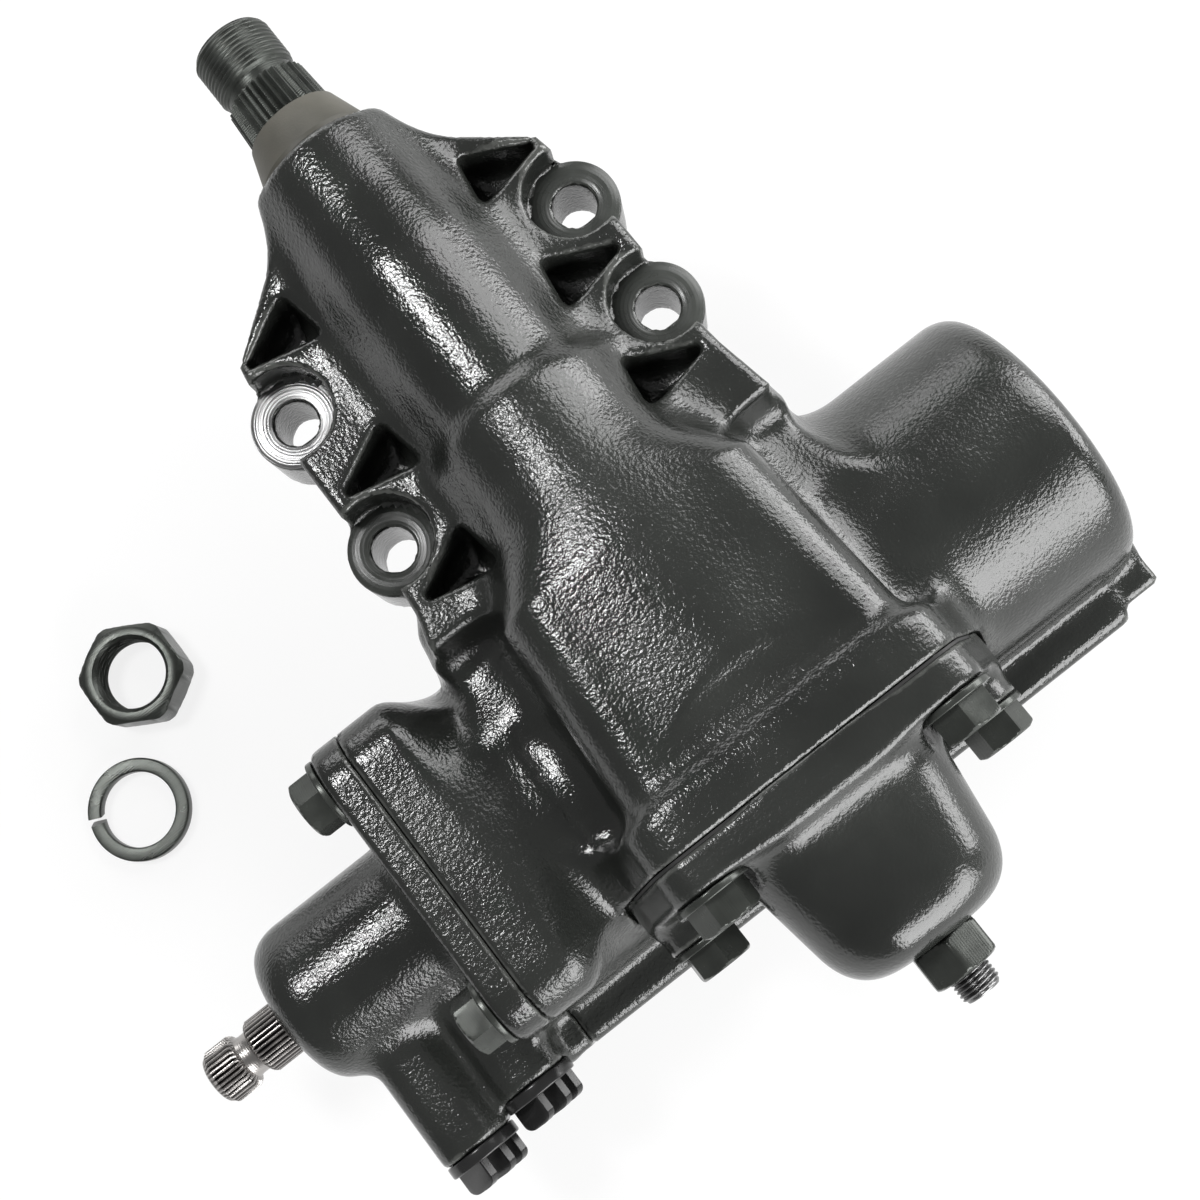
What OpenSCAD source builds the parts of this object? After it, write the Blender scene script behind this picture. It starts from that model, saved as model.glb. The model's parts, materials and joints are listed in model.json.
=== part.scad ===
// Recirculating-ball power steering gearbox, lengths in millimetres.
// The origin is midway between the two front frame bolts, on the mounting face of the lugs.
// +Y runs along the sector shaft towards its threaded end, +X along the rack piston towards the closed end.

/* [Gear pair] */
// Distance between the sector shaft axis and the piston axis
centre_distance = 58; // [57.5:0.25:59]
// Module of the sector and rack teeth
tooth_module = 6.4; // [6:0.1:6.5]
// Pressure angle of the teeth
pressure_angle = 28; // [26:1:29]
// Face width of the sector teeth
sector_face_w = 46; // [40:1:47]
// Play between the sector and rack flanks
tooth_backlash = 0.25; // [0.2:0.05:0.4]
// Piston travel for one turn of the worm
worm_lead = 12.8; // [12.4:0.1:13.4]
// Diameter of the recirculating balls
ball_d = 6.35; // [6:0.05:6.5]
// Radius of the circle that the ball centres follow round the worm
ball_track_r = 13.2; // [12.9:0.1:13.4]

/* [Rack piston] */
// Bore of the power cylinder
piston_bore_d = 74; // [73:0.5:75]
// Running clearance of the piston in its bore, on the radius
piston_clearance = 0.3; // [0.2:0.05:0.4]
// Reach of the piston towards the valve end
piston_valve_reach = 66; // [62:1:68]
// Reach of the piston towards the closed end
piston_closed_reach = 72; // [68:1:76]
// Width of the seal ring in the piston's groove
piston_ring_w = 4; // [3:0.5:5]

/* [Main housing] */
// Outside diameter of the power cylinder
cylinder_d = 92; // [90:1:96]
// Distance from the sector axis to the outside of the closed end
closed_end_x = 121; // [118:1:124]
// Thickness of the closed end
closed_end_wall = 14; // [11:1:16]
// Distance from the sector axis to the valve housing joint
valve_joint_x = 97; // [95:1:99]
// Height of the sector box roof above the sector axis
box_top_z = 31; // [30:0.5:34]
// Width of the sector box at the side cover
box_w = 92; // [90:1:96]
// Length of the sector box from the piston axis towards the output end
box_front_y = 60; // [54:1:66]
// Outside diameter of the sector boss next to the box
boss_root_d = 58; // [56:1:62]
// Outside diameter of the sector boss between the lugs
boss_mid_d = 51; // [49:1:54]
// Outside diameter of the sector boss at its open end
boss_front_d = 44; // [43:0.5:47]
// Distance from the piston axis to the open end of the sector boss
boss_front_y = 181; // [178:1:186]
// Distance of the oil gallery rib's face from the piston axis
gallery_y = 60; // [57:1:62]

/* [Frame lugs] */
// Distance of the closed end side's lug holes from the sector axis
lug_x_closed = 49; // [47:0.5:51]
// Distance of the valve side's lug holes from the sector axis
lug_x_valve = 51.5; // [50:0.5:53]
// Distance of the front lug holes from the piston axis
lug_front_y = 129; // [127:1:131]
// Spacing of the lug holes on the closed end's side
lug_spacing_closed = 38.5; // [37:0.5:40]
// Spacing of the lug holes on the valve side
lug_spacing_valve = 46.5; // [44:0.5:48]
// Diameter of the lug holes
lug_hole_d = 13; // [11:0.5:14]
// Diameter of the machined seat round a lug hole
lug_seat_d = 27; // [25:0.5:29]
// Thickness of a lug between its seat and the mounting face
lug_t = 24; // [22:1:25]
// Distance of the mounting face below the sector axis
mount_face_drop = 34; // [32:1:36]

/* [Sector shaft] */
// Diameter of the sector shaft's journals
journal_d = 30; // [29:0.5:30.5]
// Outside diameter of the needle bearings on the sector shaft
needle_bearing_od = 37; // [36.5:0.5:38]
// Length of one needle bearing
needle_bearing_l = 30; // [24:1:34]
// Length of the shaft beyond the boss
shaft_overhang = 46; // [42:1:50]
// Thread diameter of the pitman arm end
pitman_thread_d = 24; // [22:1:24]
// Length of the pitman arm thread
pitman_thread_l = 16; // [14:1:18]
// Diameter of the serrations at their small end
serration_d = 25.5; // [25:0.1:26]
// Number of serrations for the pitman arm
serration_count = 36; // [32:4:40]
// Outside diameter of the dust cover where it meets the boss
dust_cover_d = 37; // [35:0.5:39]
// Length of the dust cover
dust_cover_l = 14; // [12:1:16]

/* [Side cover] */
// Distance from the piston axis to the side cover's joint face
cover_joint_y = 35; // [34.5:0.25:36]
// Thickness of the gasket under the side cover
gasket_t = 0.8; // [0.6:0.1:1.2]
// Thickness of the side cover's flange
cover_flange_t = 10; // [9:0.5:12]
// Spacing of the upper cover bolts
cover_bolt_upper_w = 78; // [76:1:80]
// Height of the upper cover bolts above the sector axis
cover_bolt_upper_z = 22; // [21:0.5:22.5]
// Spacing of the lower cover bolts
cover_bolt_lower_w = 99; // [97:1:102]
// Distance of the lower cover bolts below the sector axis
cover_bolt_lower_z = 25; // [24:0.5:26]
// Height of the seats under the lower cover bolts
cover_seat_h = 9; // [6:0.5:11]
// Distance from the piston axis to the end of the dome
dome_end_y = 92; // [90:1:96]
// Width of the dome at the flange
dome_w = 66; // [62:1:68]
// Thread diameter of the adjusting screw
adjuster_d = 12; // [10:1:12]
// Length of the adjusting screw beyond the dome
adjuster_reach = 18; // [16:1:22]

/* [Valve housing] */
// Width over flats of the joint flange
valve_flange_w = 100; // [98:1:102]
// Thickness of the joint flange
valve_flange_t = 10; // [9.5:0.5:12]
// Distance of the joint flange's bolts from its sides
valve_bolt_inset = 12.5; // [12:0.25:13.5]
// Offset of the joint flange from the piston axis, towards the output end
valve_flange_offset = 3; // [2:0.25:3.5]
// Outside diameter of the valve body
valve_body_d = 52; // [50:0.5:54]
// Distance from the sector axis to the valve nose
valve_nose_x = 163; // [161:1:166]
// Bore of the valve body
valve_bore_d = 38; // [37:0.5:39]
// Thread diameter of the hydraulic ports
port_thread_d = 14; // [12:1:16]
// Distance of the outer port from the sector axis
outer_port_x = 140.5; // [140:0.5:142]
// Distance of the inner port from the sector axis
inner_port_x = 116.5; // [116:0.25:117]
// Reach of the outer port's boss from the piston axis
outer_port_y = 62; // [60:0.5:64]
// Reach of the inner port's boss from the piston axis
inner_port_y = 57.5; // [56:0.5:58]

/* [Input shaft] */
// Diameter over the input serrations
input_d = 17.8; // [17:0.1:18.5]
// Distance from the sector axis to the tip of the input shaft
input_tip_x = 192; // [188:1:198]
// Diameter of the input shaft's journal
input_journal_d = 20; // [19.5:0.25:21]
// Diameter of the torsion bar
torsion_bar_d = 8; // [7:0.5:8.5]

/* [Fasteners] */
// Thread diameter of the cover and valve housing bolts
bolt_d = 10; // [8:0.5:10]
// Width over flats of the bolt heads
bolt_af = 16; // [14:0.5:17]
// Height of the bolt heads
bolt_head_h = 8; // [6:0.5:9]
// Width over flats of the pitman nut
pitman_nut_af = 32; // [31:0.5:34]
// Height of the pitman nut
pitman_nut_h = 14; // [12:1:18]

/* [Hidden] */
$fn = 48;

iron_black = "#2e332e";
steel = "#8d9092";
dark_steel = "#4a4e50";
bronze = "#9a7b4a";
rubber_black = "#1d1d1f";

// Clearances and small features shared by several pieces
eps = 0.01;
fit = 0.05;
gap = 0.4;
edge_r = 8;

// Sector and rack teeth
sector_pitch_teeth = 10;
sector_teeth = 3;
pitch_r = tooth_module * sector_pitch_teeth / 2;
tooth_addendum = 0.9 * tooth_module;
tooth_dedendum = 1.1 * tooth_module;
tip_r = pitch_r + tooth_addendum;
root_r = pitch_r - tooth_dedendum;
base_r = pitch_r * cos(pressure_angle);
tooth_pitch = PI * tooth_module;
tooth_step = 360 / sector_pitch_teeth;
involute_at_pitch = tan(pressure_angle) * 180 / PI - pressure_angle;
tooth_half_base = tooth_step / 4 - tooth_backlash / 2 / pitch_r * 180 / PI + involute_at_pitch;
sector_hub_r = 20;
sector_back_y = cover_joint_y - 9;
sector_front_y = sector_face_w - sector_back_y;
rack_pitch_z = centre_distance - pitch_r;
rack_tip_z = rack_pitch_z + tooth_addendum;
rack_root_z = rack_pitch_z - tooth_dedendum;
rack_half_len = 2 * tooth_pitch;
chamber_r = tip_r + 1.2;
chamber_front_y = sector_front_y + 2;
chamber_neck_r = sector_hub_r + 4;

// Piston and worm
bore_r = piston_bore_d / 2;
piston_r = bore_r - piston_clearance;
ball_r = ball_d / 2;
worm_land_r = ball_track_r - 1.4;
worm_groove_r = ball_r + 0.45;
worm_tip_x = 30;
worm_start_x = 91;
worm_bore_r = worm_land_r + 0.6;
worm_bore_end = 58;
ball_recess_r = ball_track_r + ball_r + 0.25;
ball_turns = 2.5;
ball_pitch = ball_d + 0.3;
ball_helix_l = norm([2 * PI * ball_track_r, worm_lead]);
ball_count = floor(ball_turns * ball_helix_l / ball_pitch);
ball_start_x = -ball_turns * worm_lead / 2 - 8;
ball_recess_end = ball_start_x + ball_turns * worm_lead + ball_r + gap;
tube_r = ball_r + 0.9;
tube_z = ball_recess_r + tube_r + 2;
tube_slot_w = 2 * tube_r + 2;

// Housing
cylinder_r = cylinder_d / 2;
bore_end_x = closed_end_x - closed_end_wall;
floor_z = -centre_distance - valve_flange_w / 2;
shaft_end_y = boss_front_y + shaft_overhang;
bearing_r = needle_bearing_od / 2;
journal_r = journal_d / 2;
seal_bore_r = bearing_r + 0.5;
seal_l = 9;
seal_front_y = boss_front_y - 4;
snap_ring_t = 1.5;
gallery_z = -centre_distance - 14;
gallery_h = 20;
gallery_hole_r = 4;
gallery_end_x = bore_end_x;
gallery_tail_y = cylinder_r + 3;
lug_seat_z = lug_t - mount_face_drop;
lug_r = lug_seat_d / 2 - 0.3;
lug_wall_r = lug_seat_d / 2 + 1.5;
web_top_z = 3;
web_bottom_z = 6 - mount_face_drop;
pocket_floor_z = lug_seat_z - 6;

// Side cover
cover_face_y = cover_joint_y + gasket_t;
cover_outer_y = cover_face_y + cover_flange_t;
cover_corner_r = 11;
bush_r = journal_r + 3;
bush_l = 28;
journal_end_y = dome_end_y - 16;
cover_bolts = [
    for (side = [-1, 1])
        each [
            [side * cover_bolt_upper_w / 2, cover_bolt_upper_z, cover_outer_y],
            [side * cover_bolt_lower_w / 2, -cover_bolt_lower_z, cover_outer_y + cover_seat_h]
        ]
];
adjuster_r = adjuster_d / 2;
adjuster_head_r = adjuster_r + 2;
adjuster_pocket_r = adjuster_head_r + gap;
adjuster_pocket_l = 12;
adjuster_head_t = 4;
retainer_t = adjuster_pocket_l - adjuster_head_t - 3 * gap;
lock_nut_af = 19;
lock_nut_h = 11;
bolt_depth = 11;

// Valve and input shaft
valve_bore_r = valve_bore_d / 2;
valve_flange_x = valve_joint_x + valve_flange_t;
valve_corner_r = 14;
valve_bolt_spacing = valve_flange_w - 2 * valve_bolt_inset;
worm_bearing_r = 26;
lock_plate_r = bore_r + 3;
lock_plate_t = 4;
o_ring_r = lock_plate_r + 2.5;
o_ring_w = 3;
o_ring_t = 2.4;
input_seal_r = input_journal_d / 2 + 5;
input_bearing_r = input_journal_d / 2 + 4;
input_bearing_l = 10;
sleeve_far_x = valve_nose_x - 21;
sleeve_near_x = valve_flange_x + 2;
sleeve_r = valve_bore_r - 0.35;
sleeve_bore_r = input_journal_d / 2 + 1.05;
sleeve_groove_w = 4;
rotor_r = sleeve_bore_r - fit;
bar_end_x = valve_joint_x - 37;
bar_head_r = torsion_bar_d / 2 + 0.5;
bar_head_l = 1.5 * torsion_bar_d;
port_r = port_thread_d / 2;
port_boss_r = port_r + 4.5;
port_disc_r = port_boss_r + 0.3;
port_depth = 15;
port_passage_r = port_r - 2.4;
ports = [[inner_port_x, inner_port_y], [outer_port_x, outer_port_y]];
nut_place = [-149, 125.5];
washer_place = [-175, 90];

// Points on an arc from angle a0 to a1
function arc(cx, cy, r, a0, a1, n = 6) =
    [for (i = [0:n]) let (a = a0 + (a1 - a0) * i / n) [cx + r * cos(a), cy + r * sin(a)]];

// Outline of a rectangle with round corners
function rounded_box(w, h, r) = concat(
    arc(w / 2 - r, h / 2 - r, r, 0, 90),
    arc(r - w / 2, h / 2 - r, r, 90, 180),
    arc(r - w / 2, r - h / 2, r, 180, 270),
    arc(w / 2 - r, r - h / 2, r, 270, 360)
);

// Moves the gear frame, centred over the mesh, to the part's frame
module seat() translate([(lug_x_valve - lug_x_closed) / 2, -lug_front_y, mount_face_drop]) children();

// Local z along the piston axis towards the closed end, local x down
module on_piston_axis() translate([0, 0, -centre_distance]) rotate([0, 90, 0]) children();

// Local z along the sector axis towards the output end, local y down
module on_sector_axis() rotate([-90, 0, 0]) children();

// Local z along the sector axis towards the side cover, local y up
module towards_cover() rotate([90, 0, 0]) children();

module rod(r, from, to) translate([0, 0, from]) cylinder(r = r, h = to - from);

module ring(outer, inner, from, to) {
    difference() {
        rod(outer, from, to);
        rod(inner, from - 1, to + 1);
    }
}

module turned(points) rotate_extrude() polygon(points);

module slab(points, from, to) translate([0, 0, from]) linear_extrude(to - from) polygon(points);

// Hexagonal prism with chamfered corners on its far side
module hex_prism(af, h, chamfer = 0.8) {
    corner_r = af / sqrt(3);
    intersection() {
        cylinder(r = corner_r, h = h, $fn = 6);
        turned([[0, 0], [corner_r, 0], [corner_r, h - chamfer], [af / 2, h], [0, h]]);
    }
}

// Hex bolt whose head seats at z = 0, with its shank below and a washer face
module hex_bolt(shank) {
    washer_t = 2;
    rod(bolt_af / 2 + 3, 0, washer_t);
    translate([0, 0, washer_t]) hex_prism(bolt_af, bolt_head_h);
    rod(bolt_d / 2, -shank, eps);
}

// Flank of a sector tooth from its root to its tip, as [radius, angle from the tooth's centre line]
function flank(n = 5) = concat(
    [[root_r, tooth_half_base]],
    [
        for (i = [0:n])
            let (r = base_r + (tip_r - base_r) * i / n, t = sqrt(pow(r / base_r, 2) - 1))
                [r, tooth_half_base - (t * 180 / PI - atan(t))]
    ]
);

function polar(r, a) = [r * cos(a), r * sin(a)];

// Outline of the toothed sector, with its middle tooth straight down
function sector_points() =
    let (f = flank(), last = len(f) - 1, span = sector_teeth * tooth_step / 2)
        concat(
            [polar(sector_hub_r, -90 - span - 20), polar(root_r, -90 - span)],
            [
                for (k = [0:sector_teeth - 1])
                    let (mid = -90 + (k - (sector_teeth - 1) / 2) * tooth_step)
                        each concat(
                            [for (p = f) polar(p[0], mid - p[1])],
                            [for (i = [last:-1:0]) polar(f[i][0], mid + f[i][1])]
                        )
            ],
            [polar(root_r, -90 + span), polar(sector_hub_r, -90 + span + 20), [0, 0]]
        );

// Outline of one rack tooth space, about its centre line
function rack_space() =
    let (
        half = tooth_pitch / 4,
        top = half + (tooth_addendum + 4) * tan(pressure_angle),
        foot = half - tooth_dedendum * tan(pressure_angle)
    )
        [[-foot, rack_root_z], [foot, rack_root_z], [top, rack_tip_z + 4], [-top, rack_tip_z + 4]];

// Cross-section of the worm: a round bar with one ball groove, to be twisted into a helix
function worm_section(n = 22) =
    [
        for (i = [0:n - 1])
            let (
                a = 360 * i / n - 180,
                s = a / 360 * worm_lead,
                depth = abs(s) < worm_groove_r ? sqrt(pow(worm_groove_r, 2) - s * s) : 0
            )
                polar(min(worm_land_r, ball_track_r - depth), a)
    ];

// Outline of the side cover's flange, round its bolts
module cover_outline(grow = 0) {
    offset(r = cover_corner_r + grow)
        polygon([
            [-cover_bolt_upper_w / 2, cover_bolt_upper_z],
            [cover_bolt_upper_w / 2, cover_bolt_upper_z],
            [cover_bolt_lower_w / 2, -cover_bolt_lower_z],
            [-cover_bolt_lower_w / 2, -cover_bolt_lower_z]
        ]);
}

// Space in which the sector swings, wide below the axis and narrow above it
module chamber_outline() {
    circle(r = chamber_neck_r);
    intersection() {
        circle(r = chamber_r);
        translate([-chamber_r, -chamber_r]) square([2 * chamber_r, chamber_r + 4]);
    }
}

// Lug hole places on one side: [x, front y, back y]
function lug_row(side) =
    side > 0
        ? [lug_x_closed, lug_front_y, lug_front_y - lug_spacing_closed]
        : [-lug_x_valve, lug_front_y, lug_front_y - lug_spacing_valve];

// Plan of the web that carries one side's lugs, stepping out in front of each lug
module web_plan(side) {
    row = lug_row(side);
    wall_out = lug_wall_r * 0.4;
    wall_front = lug_wall_r + 8;
    polygon([
        [0, boss_front_y - 3],
        [side * boss_front_d * 0.42, boss_front_y - 3],
        [row[0] + side * wall_out, row[1] + wall_front],
        [row[0] + side * (wall_out + 2), row[1] + lug_wall_r * 0.6],
        [row[0] + side * wall_out, row[1] - lug_wall_r],
        [row[0] + side * (wall_out + 2), row[2] + lug_wall_r * 0.8],
        [row[0] + side * wall_out, row[2] - lug_wall_r],
        [row[0] + side * (wall_out + 3), box_front_y - 10],
        [0, box_front_y - 10]
    ]);
}

// Triangular pocket in front of a lug, its long side along the web's edge
module pocket_plan(side, y) {
    x = lug_row(side)[0];
    offset(r = 2.5)
        polygon([
            [x - side * 13, y + lug_wall_r + 13],
            [x + side * 3, y + lug_wall_r + 2.5],
            [x - side * 15, y + lug_wall_r - 5]
        ]);
}

module lugs(side) {
    row = lug_row(side);
    translate([0, 0, web_bottom_z]) linear_extrude(web_top_z - web_bottom_z) web_plan(side);
    for (y = [row[1], row[2]])
        translate([row[0], y, 0]) rod(lug_r, -mount_face_drop, lug_seat_z + 1);
    // Foot that carries the web down to the power cylinder
    foot_out = row[0] + side * lug_wall_r * 0.6;
    translate([0, 0, -centre_distance])
        linear_extrude(centre_distance + web_bottom_z + 10)
            polygon([
                [0, box_front_y],
                [foot_out, box_front_y],
                [foot_out, cylinder_r * 0.6],
                [0, cylinder_r * 0.6]
            ]);
}

module lug_cuts(side) {
    row = lug_row(side);
    for (y = [row[1], row[2]])
        translate([row[0], y, 0]) {
            rod(lug_hole_d / 2, -mount_face_drop - 1, lug_seat_z + 1);
            rod(lug_seat_d / 2, lug_seat_z, box_top_z);
        }
    for (y = [row[1], row[2], row[2] - 2 * lug_wall_r + 2])
        translate([0, 0, pocket_floor_z]) linear_extrude(box_top_z) pocket_plan(side, y);
}

// Slices of the sector box: [distance towards the cover, width, roof height, corner radius]
box_slices = [
    [cover_joint_y, box_w, box_top_z, 12],
    [-box_front_y * 0.65, box_w - 10, box_top_z - 1, 14],
    [-box_front_y, box_w - 34, box_top_z - 7, 20]
];

module sector_box() {
    hull()
        for (s = box_slices) {
            tall = s[2] + centre_distance;
            towards_cover()
                translate([0, s[2] - tall / 2, s[0] - 1])
                    linear_extrude(1) polygon(rounded_box(s[1], tall, s[3]));
        }
}

module sector_boss() {
    root_y = lug_front_y - lug_spacing_closed;
    on_sector_axis()
        turned([
            [0, 0],
            [boss_root_d / 2, 0],
            [boss_root_d / 2, root_y - 3],
            [boss_mid_d / 2, root_y + 2],
            [boss_mid_d / 2, lug_front_y + 9],
            [boss_front_d / 2 + 1, lug_front_y + 29],
            [boss_front_d / 2, boss_front_y - 2],
            [boss_front_d / 2 - 2, boss_front_y],
            [0, boss_front_y]
        ]);
}

module power_cylinder() {
    block_l = 14;
    taper_x = valve_joint_x - 36;
    on_piston_axis() {
        turned(concat(
            [[0, -valve_joint_x], [cylinder_r, -valve_joint_x]],
            arc(cylinder_r - edge_r, closed_end_x - edge_r, edge_r, 0, 90),
            [[0, closed_end_x]]
        ));
        translate([0, valve_flange_offset, 0])
            slab(rounded_box(valve_flange_w, valve_flange_w, valve_corner_r), -valve_joint_x, block_l - valve_joint_x);
        hull() {
            translate([0, valve_flange_offset, block_l - valve_joint_x - 1])
                linear_extrude(1) polygon(rounded_box(valve_flange_w - 2, valve_flange_w - 2, valve_corner_r));
            rod(cylinder_r, -taper_x, 1 - taper_x, $fn = 32);
        }
    }
}

// Rib on the cover side that carries the oil gallery to the closed end
module gallery_rib() {
    depth = gallery_y;
    translate([-valve_joint_x, -gallery_y + depth / 2, gallery_z])
        rotate([90, 0, 90])
            linear_extrude(valve_joint_x + gallery_end_x)
                polygon(rounded_box(depth, gallery_h, 4));
    translate([0, -gallery_tail_y, gallery_z - gallery_h / 2 + 1])
        cube([closed_end_x - 2, gallery_tail_y, gallery_h - 2]);
}

module housing_casting() {
    power_cylinder();
    sector_box();
    sector_boss();
    gallery_rib();
    for (side = [-1, 1])
        lugs(side);
    towards_cover() translate([0, 0, cover_joint_y - 14]) linear_extrude(14) cover_outline();
}

module bolt_holes(depth) {
    for (b = cover_bolts)
        towards_cover() translate([b[0], b[1], cover_joint_y]) rod(bolt_d / 2 + fit, -depth, 1);
    on_piston_axis()
        at_valve_bolts() rod(bolt_d / 2 + fit, -valve_joint_x - 1, depth - valve_joint_x);
}

module main_housing() color(iron_black) seat() difference() {
    housing_casting();
    on_piston_axis() {
        rod(bore_r, -valve_joint_x - 1, bore_end_x);
        rod(lock_plate_r + fit, -valve_joint_x - 1, lock_plate_t - valve_joint_x);
    }
    towards_cover()
        translate([0, 0, -chamber_front_y])
            linear_extrude(chamber_front_y + cover_joint_y + 1) chamber_outline();
    // Keeps the cover's joint face flat above the cylinder's side
    translate([-box_w, -cover_joint_y - box_w, -cover_bolt_lower_z - cover_corner_r - 0.5])
        cube([2 * box_w, box_w, box_w]);
    on_sector_axis() {
        rod(bearing_r, 0, seal_front_y - seal_l);
        rod(seal_bore_r, seal_front_y - seal_l, boss_front_y + 1);
        rod(seal_bore_r + 1, seal_front_y, seal_front_y + snap_ring_t);
    }
    for (side = [-1, 1])
        lug_cuts(side);
    bolt_holes(bolt_depth + 2);
    translate([0, 6 - gallery_y + gallery_hole_r, gallery_z])
        rotate([0, 90, 0]) {
            rod(gallery_hole_r, 20 - valve_joint_x, gallery_end_x + 1);
            rod(gallery_hole_r + 1, gallery_end_x - 8, gallery_end_x + 1);
        }
}

module gallery_plug() color(steel) seat()
    translate([0, 6 - gallery_y + gallery_hole_r, gallery_z])
        rotate([0, 90, 0]) {
            rod(gallery_hole_r + 1, gallery_end_x - 8, gallery_end_x - 0.5);
            rod(gallery_hole_r - 1, gallery_end_x - 12, gallery_end_x - 8 + eps);
        }

// Slices of the cover's dome: [distance from the piston axis, width, height, corner radius]
dome_slices = [
    [cover_outer_y, dome_w, dome_w - 12, 22],
    [dome_end_y - 14, dome_w - 10, dome_w - 14, 21],
    [dome_end_y - 4, dome_w - 16, dome_w - 18, 20],
    [dome_end_y, dome_w - 28, dome_w - 28, 18]
];

module side_cover() color(iron_black) seat() towards_cover() difference() {
    union() {
        translate([0, 0, cover_face_y]) linear_extrude(cover_flange_t) cover_outline();
        hull()
            for (s = dome_slices)
                slab(rounded_box(s[1], s[2], s[3]), s[0] - 1, s[0]);
        for (b = cover_bolts)
            if (b[2] > cover_outer_y)
                translate([b[0], b[1], 0]) rod(cover_corner_r - gap, cover_face_y + 1, b[2]);
    }
    rod(bush_r, cover_face_y - 1, journal_end_y + 2);
    rod(adjuster_r, journal_end_y, dome_end_y + 1);
    for (b = cover_bolts)
        translate([b[0], b[1], 0]) rod(bolt_d / 2 + 0.5, cover_face_y - 1, b[2] + 1);
}

module side_cover_gasket() color(rubber_black) seat() towards_cover()
    translate([0, 0, cover_joint_y])
        linear_extrude(gasket_t)
            difference() {
                cover_outline(-0.4);
                chamber_outline();
                for (b = cover_bolts)
                    translate([b[0], b[1]]) circle(r = bolt_d / 2 + 0.5);
            }

module side_cover_bolts() color(dark_steel) seat() towards_cover()
    for (b = cover_bolts)
        translate(b) hex_bolt(b[2] - cover_joint_y + bolt_depth);

module side_cover_bush() color(bronze) seat() towards_cover()
    ring(bush_r, journal_r + fit, journal_end_y - 2 - bush_l, journal_end_y - 2);

module adjusting_screw() color(steel) seat() towards_cover() {
    head_y = journal_end_y - adjuster_pocket_l + gap;
    rod(adjuster_head_r, head_y, head_y + adjuster_head_t);
    rod(adjuster_r - 0.05, head_y, dome_end_y + adjuster_reach);
}

module adjuster_lock_nut() color(dark_steel) seat() towards_cover()
    translate([0, 0, dome_end_y])
        difference() {
            hex_prism(lock_nut_af, lock_nut_h);
            rod(adjuster_r, -1, lock_nut_h + 1);
        }

// Places its children at the four valve housing bolts
module at_valve_bolts() {
    for (sx = [-1, 1], sy = [-1, 1])
        translate([sx * valve_bolt_spacing / 2, sy * valve_bolt_spacing / 2 + valve_flange_offset, 0]) children();
}

// Local z out of a hydraulic port, towards the cover side, from the piston axis
module at_port(x) translate([-x, 0, -centre_distance]) rotate([90, 0, 0]) children();

module valve_housing() color(iron_black) seat() difference() {
    union() {
        on_piston_axis() {
            translate([0, valve_flange_offset, 0])
                slab(rounded_box(valve_flange_w, valve_flange_w, valve_corner_r), -valve_flange_x, -valve_joint_x);
            turned(concat(
                [[0, -valve_flange_x + 1], [valve_body_d / 2 + 4, -valve_flange_x + 1]],
                [[valve_body_d / 2 + 4, -valve_flange_x - 1], [valve_body_d / 2, -valve_flange_x - 6]],
                arc(valve_body_d / 2 - 7, -valve_nose_x + 9, 7, 0, -70),
                [[input_seal_r + 2.5, -valve_nose_x], [0, -valve_nose_x]]
            ));
        }
        for (p = ports)
            at_port(p[0]) rod(port_boss_r, 0, p[1]);
    }
    on_piston_axis() {
        rod(worm_bearing_r + fit, -valve_flange_x, -valve_joint_x + 1);
        rod(valve_bore_r, -sleeve_far_x, -valve_flange_x + 1);
        rod(input_bearing_r, -sleeve_far_x - input_bearing_l - 1, -sleeve_far_x + 1);
        rod(input_journal_d / 2 + 1, -valve_nose_x, -sleeve_far_x);
        rod(input_seal_r, -valve_nose_x - 1, -valve_nose_x + 8);
        ring(o_ring_r + o_ring_w / 2, o_ring_r - o_ring_w / 2, -valve_joint_x - o_ring_t, -valve_joint_x + 1);
        at_valve_bolts() rod(bolt_d / 2 + 0.5, -valve_flange_x - 1, -valve_joint_x + 1);
    }
    for (p = ports)
        at_port(p[0]) {
            rod(port_r, p[1] - port_depth, p[1] + 1);
            rod(port_passage_r, 0, p[1]);
        }
}

module valve_housing_seal() color(rubber_black) seat() on_piston_axis()
    ring(o_ring_r + o_ring_w / 2 - fit, o_ring_r - o_ring_w / 2 + fit, -valve_joint_x - o_ring_t, -valve_joint_x);

module valve_housing_bolts() color(dark_steel) seat() on_piston_axis()
    at_valve_bolts()
        translate([0, 0, -valve_flange_x])
            mirror([0, 0, 1]) hex_bolt(valve_flange_t + bolt_depth);

module worm_bearing() color(steel) seat() on_piston_axis() {
    race_r = 18.5;
    bead_r = 3.4;
    beads = 12;
    mid = (valve_flange_x + valve_joint_x) / 2;
    difference() {
        ring(worm_bearing_r, worm_land_r + 2, -valve_flange_x, -valve_joint_x);
        ring(race_r + 2.2, race_r - 2.2, -valve_flange_x - 1, -valve_joint_x + 1);
        translate([0, 0, -mid]) rotate_extrude() translate([race_r, 0]) circle(r = bead_r + 0.1);
    }
    for (i = [0:beads - 1])
        rotate(360 / beads * i) translate([race_r, 0, -mid]) sphere(r = bead_r);
}

module bearing_lock_plate() color(dark_steel) seat() on_piston_axis()
    difference() {
        ring(lock_plate_r, worm_land_r + 8, -valve_joint_x, lock_plate_t - valve_joint_x);
        for (a = [0:90:270])
            rotate(a) translate([bore_r - 5, 0, 0]) rod(3, -valve_joint_x - 1, lock_plate_t + 1 - valve_joint_x);
    }

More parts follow.
